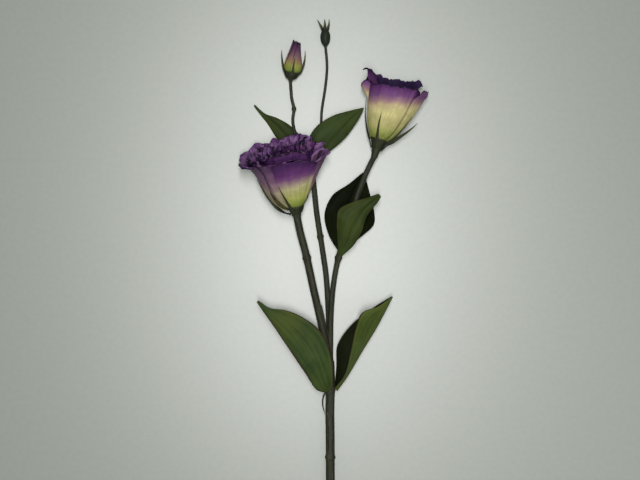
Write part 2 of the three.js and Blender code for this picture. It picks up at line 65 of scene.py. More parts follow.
LEAF_GRID = (29, 72)  # points across and along
PETAL_GRID = (41, 46)
INNER_GRID = (37, 30)
SEPAL_GRID = (9, 40)
CUP_ROWS, CUP_SIDES, CUP_RIBS = 24, 48, 5
LOBE_ROWS, LOBE_SIDES = 16, 20
TUBE_SIDES, FILAMENT_SIDES, ANTHER_SIDES = 20, 10, 12
TUBE_STEP = 1.0
STEM_VOXEL = 0.42

PETAL_THICKNESS = 0.3
LEAF_THICKNESS = 0.45
SEPAL_THICKNESS = 0.5
SHARP_ANGLE = 55  # an edge as sharp as this stays crisp
LANE, LANE_BEND = 0.34, 0.12  # how far out a leaf's long side vein runs, and how much it bows out

FLOOR_GAP = 0.05  # between the surface and what lies on it
FLOOR_EASE = 0.4  # the height over which a blade is eased up onto the surface
PETAL_CLEARANCE = 0.7  # between one layer of petals and the next
LIP_FROM = 0.8  # where a petal's grid leaves its line and rolls into the lip
SEPAL_CLEARANCE = 0.3  # between a sepal and what it lies on
SEPAL_SINK, SINK_REACH = 1.5, 0.06  # how far its foot is sunk, and along what share of it
OVERLAP = 0.4  # how far a branch reaches into what it carries, and a lobe into the style

STEM_RIDGES, RIDGE_RELIEF = 7, 0.07
RING_RELIEF, RING_REACH = 0.32, 0.8  # the ring at each node of the stem
RING_WITHIN = 5  # how far out from its branch's middle a ring is drawn
BROWN_REACH = 5  # how far from a node the bark is browner
CUT_DEPTH, CUT_RADIUS = 0.6, 3  # what counts as the cut end

CAMERA_OVER = (-10.37, 18.0)
CAMERA_HEIGHT = 1200.0
CAMERA_LENS, CAMERA_SENSOR = 88.5, 36.0

# place and target in millimetres, size of the lamp in metres, power in watts
FLASH = dict(place=(-10, 52, 1200), target=(-10, 52, 0), size=(0.12, 0.7), power=9.5)
WINDOW = dict(place=(500, -350, 1100), target=(-10, 20, 0), size=(0.8, 0.8), power=1.5)
ROOM_LIGHT, ROOM_STRENGTH = (0.95, 1.0, 0.96, 1), 0.25
FLOOR_HALF, FLOOR_DROP = 3.0, 0.0001  # half the surface's width and how far it lies down, in metres


# ---------------------------------------------------------------- small tools


def mix(a, b, t):
    return a + (b - a) * t


def draw(seed):
    """A repeatable draw between -1 and 1."""
    wide = math.sin(seed * 12.9898) * 43758.5453
    return 2 * (wide - math.floor(wide)) - 1


def smooth_step(low, high, value):
    t = np.clip((value - low) / (high - low), 0, 1)
    return t * t * (3 - 2 * t)


def bump(value, centre, reach):
    return np.exp(-(((value - centre) / reach) ** 2))


def bezier(controls, t):
    a, b, c, d = controls
    s = 1 - t
    return s**3 * a + 3 * s * s * t * b + 3 * s * t * t * c + t**3 * d


def bezier_slope(controls, t):
    a, b, c, d = controls
    s = 1 - t
    return 3 * s * s * (b - a) + 6 * s * t * (c - b) + 3 * t * t * (d - c)


def grid(across, along, crowd=1.0):
    """u from -1 to 1 across and v from 0 to 1 along, as arrays of rows, crowded to the far end."""
    return np.meshgrid(np.linspace(-1, 1, across), 1 - np.linspace(1, 0, along) ** crowd)


def placed(across, along, tone):
    """Three values for each point, from arrays of like shape or single values."""
    return np.stack(np.broadcast_arrays(across, along, tone), -1)


class Line:
    """A smooth line through points, read by its share of the whole length."""

    FINE = 24

    def __init__(self, points):
        p = np.array(points, float)
        p = np.vstack([2 * p[0] - p[1], p, 2 * p[-1] - p[-2]])
        t = np.linspace(0, 1, self.FINE, endpoint=False)[:, None]
        spans = []
        for a, b, c, d in zip(p, p[1:], p[2:], p[3:]):
            g, h, k = (np.linalg.norm(y - x) ** 0.5 for x, y in ((a, b), (b, c), (c, d)))
            leave = ((b - a) / g - (c - a) / (g + h) + (c - b) / h) * h
            reach = ((c - b) / h - (d - b) / (h + k) + (d - c) / k) * h
            square = 3 * (c - b) - 2 * leave - reach
            cube = 2 * (b - c) + leave + reach
            spans.append(b + leave * t + square * t**2 + cube * t**3)
        self.points = np.vstack([*spans, p[-2]])
        steps = np.linalg.norm(np.diff(self.points, axis=0), axis=1)
        self.miles = np.concatenate([[0], np.cumsum(steps)])
        self.length = self.miles[-1]

    def at(self, share):
        miles = np.asarray(share) * self.length
        return np.stack([np.interp(miles, self.miles, axis) for axis in self.points.T], -1)


class Build:
    """Gathers closed shapes into one mesh. place holds (across, along, tone) for each point, and
    side is 0 on an outer face and 1 on an inner one."""

    def __init__(self):
        self.points, self.faces, self.place, self.side, self.count = [], [], [], [], 0

    def add(self, points, faces, place, side):
        points = np.asarray(points, float).reshape(-1, 3)
        self.points.append(points)
        self.faces.extend((np.asarray(face) + self.count).tolist() for face in faces)
        self.place.append(np.broadcast_to(place, points.shape))
        self.side.append(np.broadcast_to(side, len(points)))
        self.count += len(points)

    def join(self, other):
        points, place, side = map(np.concatenate, (other.points, other.place, other.side))
        self.add(points, other.faces, place, side)

    def blade(self, middle, thickness, place):
        """A thin closed blade over a grid of middle points."""
        rows, columns = middle.shape[:2]
        across, along = np.gradient(middle, axis=1), np.gradient(middle, axis=0)
        normal = np.cross(across, along)
        normal /= np.maximum(np.linalg.norm(normal, axis=2, keepdims=True), 1e-9)
        half = normal * (thickness / 2 * np.ones((rows, columns)))[..., None]
        size = rows * columns
        index = np.arange(size).reshape(rows, columns)
        a, b, c, d = index[:-1, :-1], index[:-1, 1:], index[1:, 1:], index[1:, :-1]
        front = np.stack([a, b, c, d], -1).reshape(-1, 4)
        back = np.stack([a, d, c, b], -1).reshape(-1, 4) + size
        here = np.concatenate([index[0, :-1], index[:-1, -1], index[-1, :0:-1], index[:0:-1, 0]])
        onward = np.roll(here, -1)
        rim = np.stack([here, here + size, onward + size, onward], -1)
        points = np.concatenate([(middle + half).reshape(-1, 3), (middle - half).reshape(-1, 3)])
        side = np.repeat([0.0, 1.0], size)
        self.add(points, np.concatenate([front, back, rim]), np.tile(place.reshape(-1, 3), (2, 1)), side)

    def ring_body(self, rings, place, side=0.0):
        """A closed body over rings of points, each end closed by a fan round its middle."""
        rows, sides = rings.shape[:2]
        index = np.arange(rows * sides).reshape(rows, sides)
        onward = np.roll(index, -1, axis=1)
        walls = np.stack([index[:-1], onward[:-1], onward[1:], index[1:]], -1).reshape(-1, 4)
        first, last = rows * sides, rows * sides + 1
        low = [(first, b, a) for a, b in zip(index[0], onward[0])]
        high = [(last, a, b) for a, b in zip(index[-1], onward[-1])]
        points = np.concatenate([rings.reshape(-1, 3), [rings[0].mean(0)], [rings[-1].mean(0)]])
        place = place.reshape(-1, 3)
        ends = [place[:sides].mean(0), place[-sides:].mean(0)]
        self.add(points, [*walls, *low, *high], np.concatenate([place, ends]), side)

    def mesh(self, name, in_box=True):
        points = np.concatenate(self.points) + SHIFT
        if in_box:
            points = np.clip(points, np.array(CAD_BOX[0]) / MM, np.array(CAD_BOX[1]) / MM)
        data = bpy.data.meshes.new(name)
        data.from_pydata((points * MM).tolist(), [], self.faces)
        keep(data, "place", "FLOAT_VECTOR", "vector", np.concatenate(self.place))
        keep(data, "side", "FLOAT", "value", np.concatenate(self.side))
        data.shade_smooth()
        data.set_sharp_from_angle(angle=math.radians(SHARP_ANGLE))
        return data

    def piece(self, node, slot, material):
        put(self.mesh(f"{node}_fine"), node, material)


def keep(data, name, kind, field, values):
    """Keeps values for a mesh's points, for its material to read."""
    attribute = data.attributes.new(name, kind, "POINT")
    attribute.data.foreach_set(field, values.astype(np.float32).ravel())


def show(name, data):
    shown = bpy.data.objects.new(name, data)
    bpy.context.scene.collection.objects.link(shown)
    return shown


def put(data, node, material):
    """Shows a mesh in place of a CAD node."""
    piece = show(data.name, data)
    data.materials.append(material)
    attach(piece, "root")
    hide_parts(node)


# ---------------------------------------------------------------- colours

# Each is three screen values, 0 to 255. A tint is four linear factors.
PURPLE, DEEP_PURPLE, LIT_PURPLE = (98, 53, 107), (67, 37, 82), (150, 108, 160)
# of the next four, the first is painted shade and the second a painted highlight, both for patches on a
# petal's inner face
SHADE_NAVY, ROSE_HIGHLIGHT, FADED, RIM = (40, 30, 68), (138, 94, 132), (134, 108, 118), (26, 15, 36)
# the second is painted shade: the near-black edge of a leaf that lies in shadow
BROWN, SHADED_EDGE = (52, 34, 22), (8, 11, 3)
WARM_TINT, PALE_TINT = (1.28, 1.0, 0.62, 1.0), (1.6, 1.6, 1.6, 1.0)

# light and deep colour of a leaf's face; the last pair is painted shade, for a leaf face that lies in shadow
BRIGHT = (80, 98, 50), (58, 76, 34)
MIDDLING = (64, 80, 38), (42, 58, 24)
QUIET = (57, 71, 33), (42, 56, 23)
SHADED = (20, 27, 9), (9, 14, 3)

# dark and light at the foot, then the tip
CALYX_GREEN = (36, 38, 26), (56, 60, 38), (66, 68, 36)
BUD_GREEN = (24, 32, 21), (40, 48, 34), (98, 100, 60)

BARK = (28, 31, 17), (52, 54, 36)
PALE_FIBRE_AND_HIGHLIGHT, DARK_FIBRE, NODE_BROWN = (86, 88, 74), (30, 30, 18), (58, 48, 36)
PITH = (150, 150, 104), (188, 186, 146)
OVARY_GREEN, ANTHER_YELLOW = ((104, 122, 52), (152, 166, 84)), ((182, 150, 60), (214, 186, 92))
FLOOR_GREY = (150, 155, 146), (153, 158, 149)

# share of the petal's height, and the colour there
LEFT_BANDS = [
    (0.0, (84, 96, 40)), (0.13, (146, 160, 72)), (0.27, (176, 178, 100)), (0.42, (190, 182, 134)),
    (0.5, (164, 140, 134)), (0.58, (118, 76, 118)), (0.66, PURPLE), (0.84, DEEP_PURPLE), (0.9, PURPLE),
    (0.96, RIM),
]
RIGHT_BANDS = [
    (0.0, (110, 118, 52)), (0.23, (156, 162, 88)), (0.37, (188, 180, 120)), (0.55, (210, 200, 140)),
    (0.63, (196, 176, 136)), (0.69, (158, 122, 128)), (0.76, (118, 76, 122)), (0.84, PURPLE),
    (0.9, DEEP_PURPLE), (0.97, RIM),
]
INNER_FOOT = [(0.0, (120, 124, 60)), (0.26, (150, 140, 100)), (0.42, (84, 56, 86))]
# on the inner face the dark band at 0.62 is painted shade deep in the bloom, and the light band at 0.87 is a
# painted highlight on the rolled lip
INNER_BANDS = [
    *INNER_FOOT, (0.62, (24, 14, 42)), (0.8, (48, 28, 72)), (0.87, LIT_PURPLE), (0.91, (98, 58, 116)),
    (0.95, RIM),
]
# an inner face darkened throughout by painted shade, for the bloom whose inside lies in shadow
SHADED_INNER_BANDS = [
    *INNER_FOOT, (0.62, (50, 33, 72)), (0.86, (46, 30, 68)), (0.92, (74, 46, 88)), (0.99, RIM),
]
BUD_BANDS = [
    (0.0, (84, 100, 40)), (0.2, (138, 152, 66)), (0.36, (150, 148, 76)), (0.48, (158, 128, 96)),
    (0.62, (124, 94, 100)), (0.78, (96, 62, 92)), (0.92, (50, 30, 58)), (0.98, RIM),
]

# ---------------------------------------------------------------- materials


def colour(red, green, blue):
    """A linear colour from its screen values."""
    parts = [value / 255 for value in (red, green, blue)]
    linear = [p / 12.92 if p <= 0.04045 else ((p + 0.055) / 1.055) ** 2.4 for p in parts]
    return (*linear, 1.0)


class Value:
    """What runs from one node of a material to the next. Sums on it add the nodes they need."""

    def __init__(self, paint, socket):
        self.paint, self.socket = paint, socket

    def __add__(self, other):
        return self.paint.math("ADD", self, other)

    def __sub__(self, other):
        return self.paint.math("SUBTRACT", self, other)

    def __mul__(self, other):
        return self.paint.math("MULTIPLY", self, other)

    def __abs__(self):
        return self.paint.math("ABSOLUTE", self)

    def sine(self):
        return self.paint.math("SINE", self)

    def or_more(self, other):
        return self.paint.math("MAXIMUM", self, other)

    def between(self, low, high, start=0.0, end=1.0):
        """Eases from start to end while this runs from low to high."""
        made = self.paint.node("ShaderNodeMapRange", interpolation_type="SMOOTHSTEP")
        for socket, number in zip(made.inputs, (self, low, high, start, end)):
            self.paint.set(socket, number)
        return Value(self.paint, made.outputs[0])


class Paint:
    """A material whose colour, roughness and bump come from small node chains."""

    BUMP = 0.7

    def __init__(self, name, roughness=0.6, gloss=0.3):
        self.material = bpy.data.materials.new(name)
        self.material.use_nodes = True
        self.tree = self.material.node_tree
        self.shader = self.tree.nodes["Principled BSDF"]
        self.shader.inputs["Roughness"].default_value = roughness
        self.shader.inputs["Specular IOR Level"].default_value = gloss
        parts = self.node("ShaderNodeSeparateXYZ", Vector=self.kept("place", "Vector"))
        self.across, self.along, self.tone = (Value(self, socket) for socket in parts.outputs)
        self.side = self.kept("side", "Fac")
        self.object = Value(self, self.node("ShaderNodeTexCoord").outputs["Object"])

    def kept(self, name, output):
        """Values kept for the mesh's points."""
        return Value(self, self.node("ShaderNodeAttribute", attribute_name=name).outputs[output])

    def set(self, socket, value):
        if isinstance(value, Value):
            self.tree.links.new(value.socket, socket)
        elif isinstance(value, tuple) and len(value) == 3:
            socket.default_value = colour(*value)
        else:
            socket.default_value = value

    def node(self, kind, **values):
        made = self.tree.nodes.new(kind)
        for name, value in values.items():
            if name in made.inputs:
                self.set(made.inputs[name], value)
            else:
                setattr(made, name, value)
        return made

    def math(self, operation, *values):
        made = self.node("ShaderNodeMath", operation=operation)
        for socket, value in zip(made.inputs, values):
            self.set(socket, value)
        return Value(self, made.outputs[0])

    def noise(self, vector, scale, detail=2.0):
        made = self.node("ShaderNodeTexNoise", Vector=vector, Scale=scale, Detail=detail)
        return Value(self, made.outputs["Fac"])

    def streaks(self, across, along, seed, detail=2.0):
        """Noise drawn out along a blade, with its own draw for each blade."""
        moved = self.tone * seed
        x, y = self.across * across + moved, self.along * along
        made = self.node("ShaderNodeCombineXYZ", X=x, Y=y, Z=moved)
        return self.noise(Value(self, made.outputs[0]), 1.0, detail)

    def ramp(self, value, stops):
        made = self.node("ShaderNodeValToRGB", Fac=value)
        elements = made.color_ramp.elements
        while len(elements) < len(stops):
            elements.new(1.0)
        for element, (position, tint) in zip(elements, stops):
            element.position = position
            element.color = colour(*tint)
        return Value(self, made.outputs["Color"])

    def blend(self, factor, a, b, kind="MIX"):
        made = self.node("ShaderNodeMix", data_type="RGBA", blend_type=kind)
        for socket, value in ((0, factor), (6, a), (7, b)):
            self.set(made.inputs[socket], value)
        return Value(self, made.outputs[2])

    def shaded(self, base, by):
        return self.blend(1.0, base, by, "MULTIPLY")

    def finish(self, base, height=None, relief=0.0, roughness=None):
        """The material. relief is the depth of its bumps in metres."""
        self.set(self.shader.inputs["Base Color"], base)
        if roughness is not None:
            self.set(self.shader.inputs["Roughness"], roughness)
        if height is not None:
            made = self.node("ShaderNodeBump", Strength=self.BUMP, Distance=relief, Height=height)
            self.set(self.shader.inputs["Normal"], Value(self, made.outputs[0]))
        return self.material


def petal_paint(name, stops, inside_stops, lit_and_shaded_patches=0.0):
    """Colour by height on the petal, with a streaked edge to each band, darker fine veins and, on
    the inner face, patches of painted shade and painted highlight. A petal of high tone is faded outside and
    painted lighter inside, as if lit."""
    paint = Paint(name, roughness=0.62, gloss=0.15)
    broad = paint.streaks(5.0, 0.8, 31.0)
    fine = paint.streaks(22.0, 1.6, 57.0, 3.0)
    loose = paint.along.between(0.8, 0.9, 0.08, 0.0)
    shift = paint.along + (broad - 0.5) * 0.05 + (fine - 0.5) * loose
    fade = paint.tone.between(0.76, 0.96, 0.0, 0.75) * shift.between(0.55, 0.9, 1.0, 0.35)
    outer = paint.blend(fade, paint.ramp(shift, stops), FADED)
    # painted light on the inner face of a petal of high tone
    lit = paint.tone.between(0.92, 0.98, 0.0, 0.65)
    inner = paint.blend(lit, paint.ramp(shift, inside_stops), LIT_PURPLE)
    # patches of painted shade and painted highlight on the inner face
    patch = paint.noise(paint.object, 210.0)
    inner = paint.blend(patch.between(0.53, 0.63, 0.0, lit_and_shaded_patches), inner, SHADE_NAVY)
    inner = paint.blend(patch.between(0.36, 0.45, lit_and_shaded_patches, 0.0), inner, ROSE_HIGHLIGHT)
    mottle = paint.noise(paint.object, 160.0, 3.0).between(0.3, 0.7, 0.86, 1.1)
    shade = fine.between(0.34, 0.62, 0.86, 1.06) * mottle
    base = paint.shaded(paint.blend(paint.side, outer, inner), shade)
    crumple = paint.noise(paint.object, 420.0, 3.0)
    return paint.finish(base, crumple * 0.5 + fine, 0.0003, fine.between(0.3, 0.7, 0.55, 0.7))


def leaf_paint(name, face, back, gloss=0.12, edge=BROWN, crease=0.0):
    """A waxy blade with a pale midrib, long side veins, a faint net and a dark edge. crease says
    how much painted shade, in the edge's colour, darkens the fold along the midrib."""
    paint = Paint(name, gloss=gloss)
    out = abs(paint.across)
    cloud = paint.noise(paint.object, 45.0, 3.0)
    patch = (paint.streaks(9.0, 2.2, 41.0, 3.0) * 0.45 + cloud * 0.55).between(0.38, 0.62)
    light = paint.blend(paint.side, face[0], back[0])
    deep = paint.blend(paint.side, face[1], back[1])
    skin = paint.blend(patch, deep, light)
    warm = paint.noise(paint.object, 26.0).between(0.42, 0.68, 0.0, 0.6)
    skin = paint.blend(warm, skin, paint.shaded(skin, WARM_TINT))
    rib = out.between(0.015, 0.06, 1.0, 0.0)
    lane = abs(out - (paint.along * math.pi).sine() * LANE_BEND - LANE)
    long_vein = lane.between(0.0, 0.035, 1.0, 0.0)
    comb = abs((paint.along * 62.0 - out * 7.0).sine())
    net = comb.between(0.0, 0.3, 1.0, 0.0) * paint.noise(paint.object, 300.0).between(0.4, 0.6)
    veins = rib.or_more(long_vein * 0.4).or_more(net * 0.2)
    base = paint.blend(veins * 0.4, skin, paint.shaded(light, PALE_TINT))
    base = paint.blend(out.between(0.94, 0.99, 0.0, 0.85), base, edge)
    # painted shade in the fold along the midrib
    base = paint.blend(out.between(0.02, 0.07, crease, 0.0), base, edge)
    height = paint.noise(paint.object, 900.0) * 0.35 - veins * 0.8
    return paint.finish(base, height, 0.00025, cloud.between(0.3, 0.7, 0.55, 0.68))


def green_paint(name, dark, light, tip):
    """Sepals, cups and buds: dark at the foot, lighter towards the tip, with fine lines along."""
    paint = Paint(name)
    fine = paint.streaks(6.0, 2.0, 43.0, 3.0)
    body = paint.blend(fine.between(0.35, 0.65), dark, light)
    body = paint.blend(paint.along.between(0.35, 1.0, 0.0, 0.8), body, tip)
    cloud = paint.noise(paint.object, 220.0, 3.0)
    return paint.finish(paint.shaded(body, cloud.between(0.3, 0.7, 0.82, 1.12)), fine, 0.00015)


def stem_paint():
    """Olive bark with pale and dark fibres along it, the pale ones partly painted highlight streaks, browner
    at the nodes, and a pale cut end.
    """
    paint = Paint("stem_bark", roughness=0.62)
    fibre = paint.kept("fibre", "Vector")
    coarse = paint.noise(fibre, 1.0, 3.0)
    thin = paint.noise(fibre, 3.2, 3.0)
    base = paint.blend(coarse.between(0.36, 0.66), *BARK)
    # pale fibres, which also serve as painted highlight streaks
    base = paint.blend(thin.between(0.56, 0.68, 0.0, 0.7), base, PALE_FIBRE_AND_HIGHLIGHT)
    base = paint.blend(thin.between(0.3, 0.42, 0.6, 0.0), base, DARK_FIBRE)
    base = paint.blend(paint.tone * 0.35, base, NODE_BROWN)
    base = paint.blend(paint.side, base, paint.blend(paint.noise(paint.object, 900.0), *PITH))
    return paint.finish(base, coarse * 0.6 + thin * 0.4, 0.0003, thin.between(0.3, 0.7, 0.55, 0.72))


def pistil_paint():
    """Green ovary and lobes, and yellow anthers."""
    paint = Paint("pistil_skin")
    grain = paint.noise(paint.object, 1500.0, 3.0)
    green, yellow = (paint.blend(grain, *pair) for pair in (OVARY_GREEN, ANTHER_YELLOW))
    return paint.finish(paint.blend(paint.side, green, yellow), grain, 0.0002)


# ---------------------------------------------------------------- stem

# radius, whether it thins to a point, and route; most end at the foot of a bloom or bud.
STEM_ROUTES = {
    "main": (3.5, False, [
        (-1.7, -187, 3.1), (-2, -158, 5.3), (-2.1, -133, 7.2), (-2.3, -115, 8.4), (-2.1, -102, 9.3),
        (-1.9, -89, 10.2), (-2.4, -75, 11)]),
    "left": (2.9, False, [
        (-2.4, -79, 10.8), (-5.2, -63, 12.3), (-9.9, -41.5, 14.4), (-15.3, -17.5, 16.8),
        (-20.5, 6.5, 19.2), (-24.7, 22.5, 20.8)]),
    "centre": (2.15, False, [
        (-1.8, -74, 10.5), (-3.5, -36, 10), (-5, -11.5, 9.6), (-7.5, 6.7, 9.2), (-12.2, 37, 7.9),
        (-14.3, 56.7, 6.6), (-16.4, 76, 5.2)]),
    "right": (2.1, False, [
        (-1.8, -71, 10.8), (-1.4, -41.5, 12), (0, -21, 13), (2.4, -5.3, 13.8), (4.6, 4.5, 14.4),
        (10.2, 24, 15.4), (18.4, 49.5, 16.6), (25.8, 68.5, 17.3)]),
    "half_open": (1.25, False, [
        (-16.4, 73.5, 5.2), (-22.5, 84, 4.9), (-27.6, 94.7, 5.2), (-30.4, 107, 5.8), (-29.5, 116, 6.3),
        (-31.2, 124, 6.7), (-31.7, 130, 7)]),
    "closed": (1.1, False, [
        (-16.4, 73.5, 5.2), (-12.1, 86.5, 5), (-9.2, 100, 4.9), (-8.5, 113.7, 4.9), (-5.4, 135, 4.9),
        (-4.4, 148.7, 4.9)]),
    "shred": (0.6, True, [
        (-4.6, -97.5, 11), (-7, -101.5, 11.4), (-7.8, -107.4, 11), (-6.6, -113, 10), (-5.4, -116.7, 9.4)]),
    "bract": (1.0, True, [
        (-9.4, -32.5, 16.4), (-7.4, -41, 15.4), (-5.4, -49.5, 14.2), (-4.2, -58, 12.6)]),
}

# branch, place along it from 0 to 1, how much it swells, and over what length
STEM_NODES = [
    ("main", 0.345, 1.12, 1.6), ("main", 0.82, 1.2, 4.5), ("left", 0.72, 1.15, 1.8),
    ("centre", 0.62, 1.2, 1.6), ("centre", 0.985, 1.45, 4), ("right", 0.48, 1.3, 3.5),
    ("half_open", 0.68, 1.35, 1.8),
]

# ---------------------------------------------------------------- leaves

# how far each blade bows and its margins wave, its paint, and its rib and margins from foot to tip
LEAVES = {
    "leaf_lower_left": {
        "bow": 1.5, "wave": 0.5, "paint": "mid",
        "rib": [(-5.6, -98.2, 12.8), (-12.1, -96, 16.5), (-20.5, -83.6, 20.5), (-32.6, -65.3, 24),
                (-43.3, -49.2, 25.5), (-51.2, -38, 25.5), (-57, -29.8, 24)],
        "left": [(-7.9, -98.1, 9.6), (-10.9, -92.8, 6), (-20.4, -75.5, 4), (-31.8, -55.6, 6),
                 (-45.2, -37.9, 12), (-56.2, -29.5, 22)],
        "right": [(-0.7, -96.6, 13.2), (0, -81.5, 17.5), (-2.6, -66, 21), (-10, -51, 23.5),
                  (-22.2, -41.4, 25.5), (-35, -36, 26), (-47.3, -34.1, 25.5), (-55.6, -28.6, 24.4)],
    },
    "leaf_lower_right": {
        # its face colours are painted shade, for the half of the leaf that lies in shadow below the fold
        "bow": 1.5, "wave": 0.5, "paint": "folded",
        "rib": [(3.1, -97.3, 10.5), (10.3, -87.3, 13.5), (22.9, -65.8, 15.5), (33.6, -48, 16.5),
                (39.7, -36.5, 17), (45, -26.2, 17)],
        "left": [(1.4, -95.6, 8), (2.7, -78.9, 8.5), (3.1, -64.5, 9), (7.7, -55.4, 9.5),
                 (16.7, -45.1, 10), (29.5, -35.2, 12), (44, -25.9, 16.4)],
        "right": [(1, -95.8, 13), (8.9, -83.7, 24), (13.3, -65.2, 31), (17, -48.1, 32),
                  (21.5, -37.8, 29), (33.6, -33, 24), (44, -26.2, 18)],
    },
    "leaf_middle_front": {
        "bow": 1.5, "wave": 0.5, "paint": "quiet",
        "rib": [(5, 4.2, 18), (9, 14.3, 22.5), (14.1, 26.9, 26), (21.5, 38.1, 27.5), (29, 45.2, 27),
                (35.1, 50, 25)],
        "left": [(3.8, 6, 17.8), (3.3, 18, 22), (2.8, 29.9, 25), (4.4, 39.2, 27.5),
                 (14.8, 44.8, 28.5), (26, 48.2, 27.5), (33.7, 51.1, 25.2)],
        "right": [(6.6, 4.3, 17.6), (15.3, 12.4, 22), (21.3, 22.5, 24), (24.8, 33.7, 25.5),
                  (29.4, 40, 26), (33.2, 44.5, 25.5), (35.8, 48.6, 24.6)],
    },
    "leaf_middle_back": {
        # its paint is painted shade on both faces, as it lies in shadow under the stem and the front leaf
        "bow": -1.5, "wave": 0.4, "paint": "dark",
        "rib": [(5.4, 7, 13.6), (7.6, 19.5, 10), (11.1, 35.5, 7), (15.7, 49.9, 6), (19.8, 60.5, 7.5),
                (23.2, 67.5, 9.5)],
        "left": [(4, 8, 13.6), (-3.2, 20.5, 9), (-6.3, 36.2, 6), (-0.3, 50.3, 5), (12.2, 59, 6.5),
                 (22.4, 67.4, 9.3)],
        "right": [(7, 7.4, 13.6), (21.3, 18.8, 9.5), (31.2, 28.6, 6.5), (31.1, 40.1, 4.5),
                  (28.2, 51.5, 4.5), (24, 66.5, 9.2)],
    },
    "leaf_upper_left": {
        "bow": 0.8, "wave": 0.3, "paint": "quiet",
        "rib": [(-18, 75.8, 2.5), (-28, 87.3, 1.5), (-37.9, 99.5, 1.1), (-47.8, 109, 1.5),
                (-55.4, 115.4, 2.5), (-59.9, 119, 3.9)],
        "left": [(-19.2, 74.3, 2.3), (-31.8, 80.5, 0.9), (-42.5, 93.5, 0.1), (-49.7, 104.9, 0.5),
                 (-55.8, 112.7, 1.9), (-60, 118.3, 3.7)],
        "right": [(-17.6, 77.3, 2.3), (-21.2, 90.3, 1.1), (-31.1, 102.6, 0.7), (-42.5, 109.4, 1.3),
                  (-52, 112.8, 2.1), (-59.3, 119.4, 3.7)],
    },
    "leaf_upper_right": {
        "bow": 1.2, "wave": 0.4, "paint": "quiet",
        "rib": [(-15.6, 76, 7.6), (-8.2, 84.6, 9), (0.8, 95.1, 10.2), (9.1, 104.2, 10.8),
                (16.7, 111.4, 10.8), (23.2, 116.3, 10)],
        "left": [(-16.8, 77.4, 7.4), (-18.5, 92.2, 8.8), (-12, 102.7, 9.8), (-0.7, 110.1, 10.6),
                 (11.4, 113.9, 10.6), (22.8, 116.6, 10)],
        "right": [(-14.4, 75, 7.4), (-2.9, 83.1, 8.4), (8.4, 92.6, 9.2), (15.2, 101.2, 9.8),
                  (20.1, 108.8, 10), (23.5, 115.9, 9.8)],
    },
}


def over_floor(points, thickness):
    """Eases the middle of a blade that would pass through the surface up onto it."""
    clearance = thickness / 2 + FLOOR_GAP
    eased = clearance + FLOOR_EASE * np.logaddexp(0, (points[..., 2] - clearance) / FLOOR_EASE)
    return np.concatenate([points[..., :2], eased[..., None]], -1)


def leaf(node, shape, paint, seed):
    """A leaf spanned by its midrib and two margins, creased at the rib and waved at the margins."""
    u, v = grid(*LEAF_GRID)
    rib = Line(shape["rib"]).at(v)
    left, right = Line(shape["left"]).at(v), Line(shape["right"]).at(v)
    out = np.abs(u)
    middle = mix(rib, np.where(u[..., None] < 0, left, right), out[..., None])
    lift = shape["bow"] * np.sin(np.pi * v) * 4 * out * (1 - out)
    wavy = np.sin(2 * np.pi * (3.1 * v + 0.5 * draw(seed)) + np.where(u < 0, 1.7, 0.0))
    wavy += 0.5 * np.sin(2 * np.pi * (6.7 * v + draw(seed + 0.4)) + 2.0 * u)
    lift = lift + shape["wave"] * wavy * out**2 * np.sin(np.pi * v) ** 0.5
    lane = LANE + LANE_BEND * np.sin(np.pi * v)
    grooves = 0.35 * bump(out, 0, 0.05) + 0.12 * bump(out, lane, 0.03)
    middle[..., 2] += lift - grooves * np.sin(np.pi * v) ** 0.3
    middle = over_floor(middle, LEAF_THICKNESS)
    thickness = LEAF_THICKNESS * (1 - 0.45 * out**4) + 0.5 * bump(out, 0, 0.06) * (1 - v)
    made = Build()
    made.blade(middle, thickness, placed(u, v, 0.5 + 0.5 * draw(seed + 0.8)))
    made.piece(node, "leaf", paint)


# ---------------------------------------------------------------- blooms


class Bloom:
    """A bloom's own frame: its root, its axis, and the two directions round the axis."""

    def __init__(self, root, lean, tip):
        lean, tip = math.radians(lean), math.radians(tip)
        self.root = np.array(root, float)
        self.axis = np.array([math.cos(tip) * math.sin(lean), math.cos(tip) * math.cos(lean), math.sin(tip)])
        up = np.array([0, 0, 1.0])
        up -= self.axis * (up @ self.axis)
        self.up = up / np.linalg.norm(up)
        self.side = np.cross(self.axis, self.up)

    def at(self, turn, radius, height):
        turn, radius, height = np.broadcast_arrays(np.radians(turn), radius, height)
        out = np.cos(turn)[..., None] * self.up + np.sin(turn)[..., None] * self.side
        return self.root + height[..., None] * self.axis + radius[..., None] * out


# A petal's line runs from foot to rim through four control points (radius, height). spread is half
# its width and width the share of that at its foot, slant lowers or lifts either side of the rim, and
# tips are points of the rim: place, reach, rise, outward, droop and twist. drift, lean and top move
# the colours along it, and tone is its own shade of colour; a high tone also paints light on the inner face.
PETAL = dict(
    spread=46, lap=1.2, corner=0.15, ruffle=1, waves=2, phase=0, swirl=6, width=0.72, slant=(0, 0),
    frill=0.35, pleat=0.08, notch=0.008, lip=1.3, curl=150, belly=0, tips=(), drift=0, lean=0, top=1,
    tone=None, grid=PETAL_GRID,
)
RUFFLED = dict(ruffle=2.1, waves=2.8, frill=0.45, lip=1.3, grid=INNER_GRID)
CUPPED = dict(ruffle=0.35, frill=0.12, lip=0.6)


def whorl(count, first, seed, line, own=None, **shape):
    """Alike petals round the axis, each a little different. own gives one petal more of its own."""
    petals = []
    for index in range(count):
        wide = 1 + 0.06 * draw(seed + index + 0.3)
        tall = 1 + 0.04 * draw(seed + index + 0.6)
        alike = dict(
            shape,
            turn=first + 360 / count * index + 5 * draw(seed + index),
            line=[(radius * wide, height * tall) for radius, height in line],
            phase=math.pi * draw(seed + index + 0.9),
        )
        petals.append({**alike, **(own or {}).get(index, {})})
    return petals


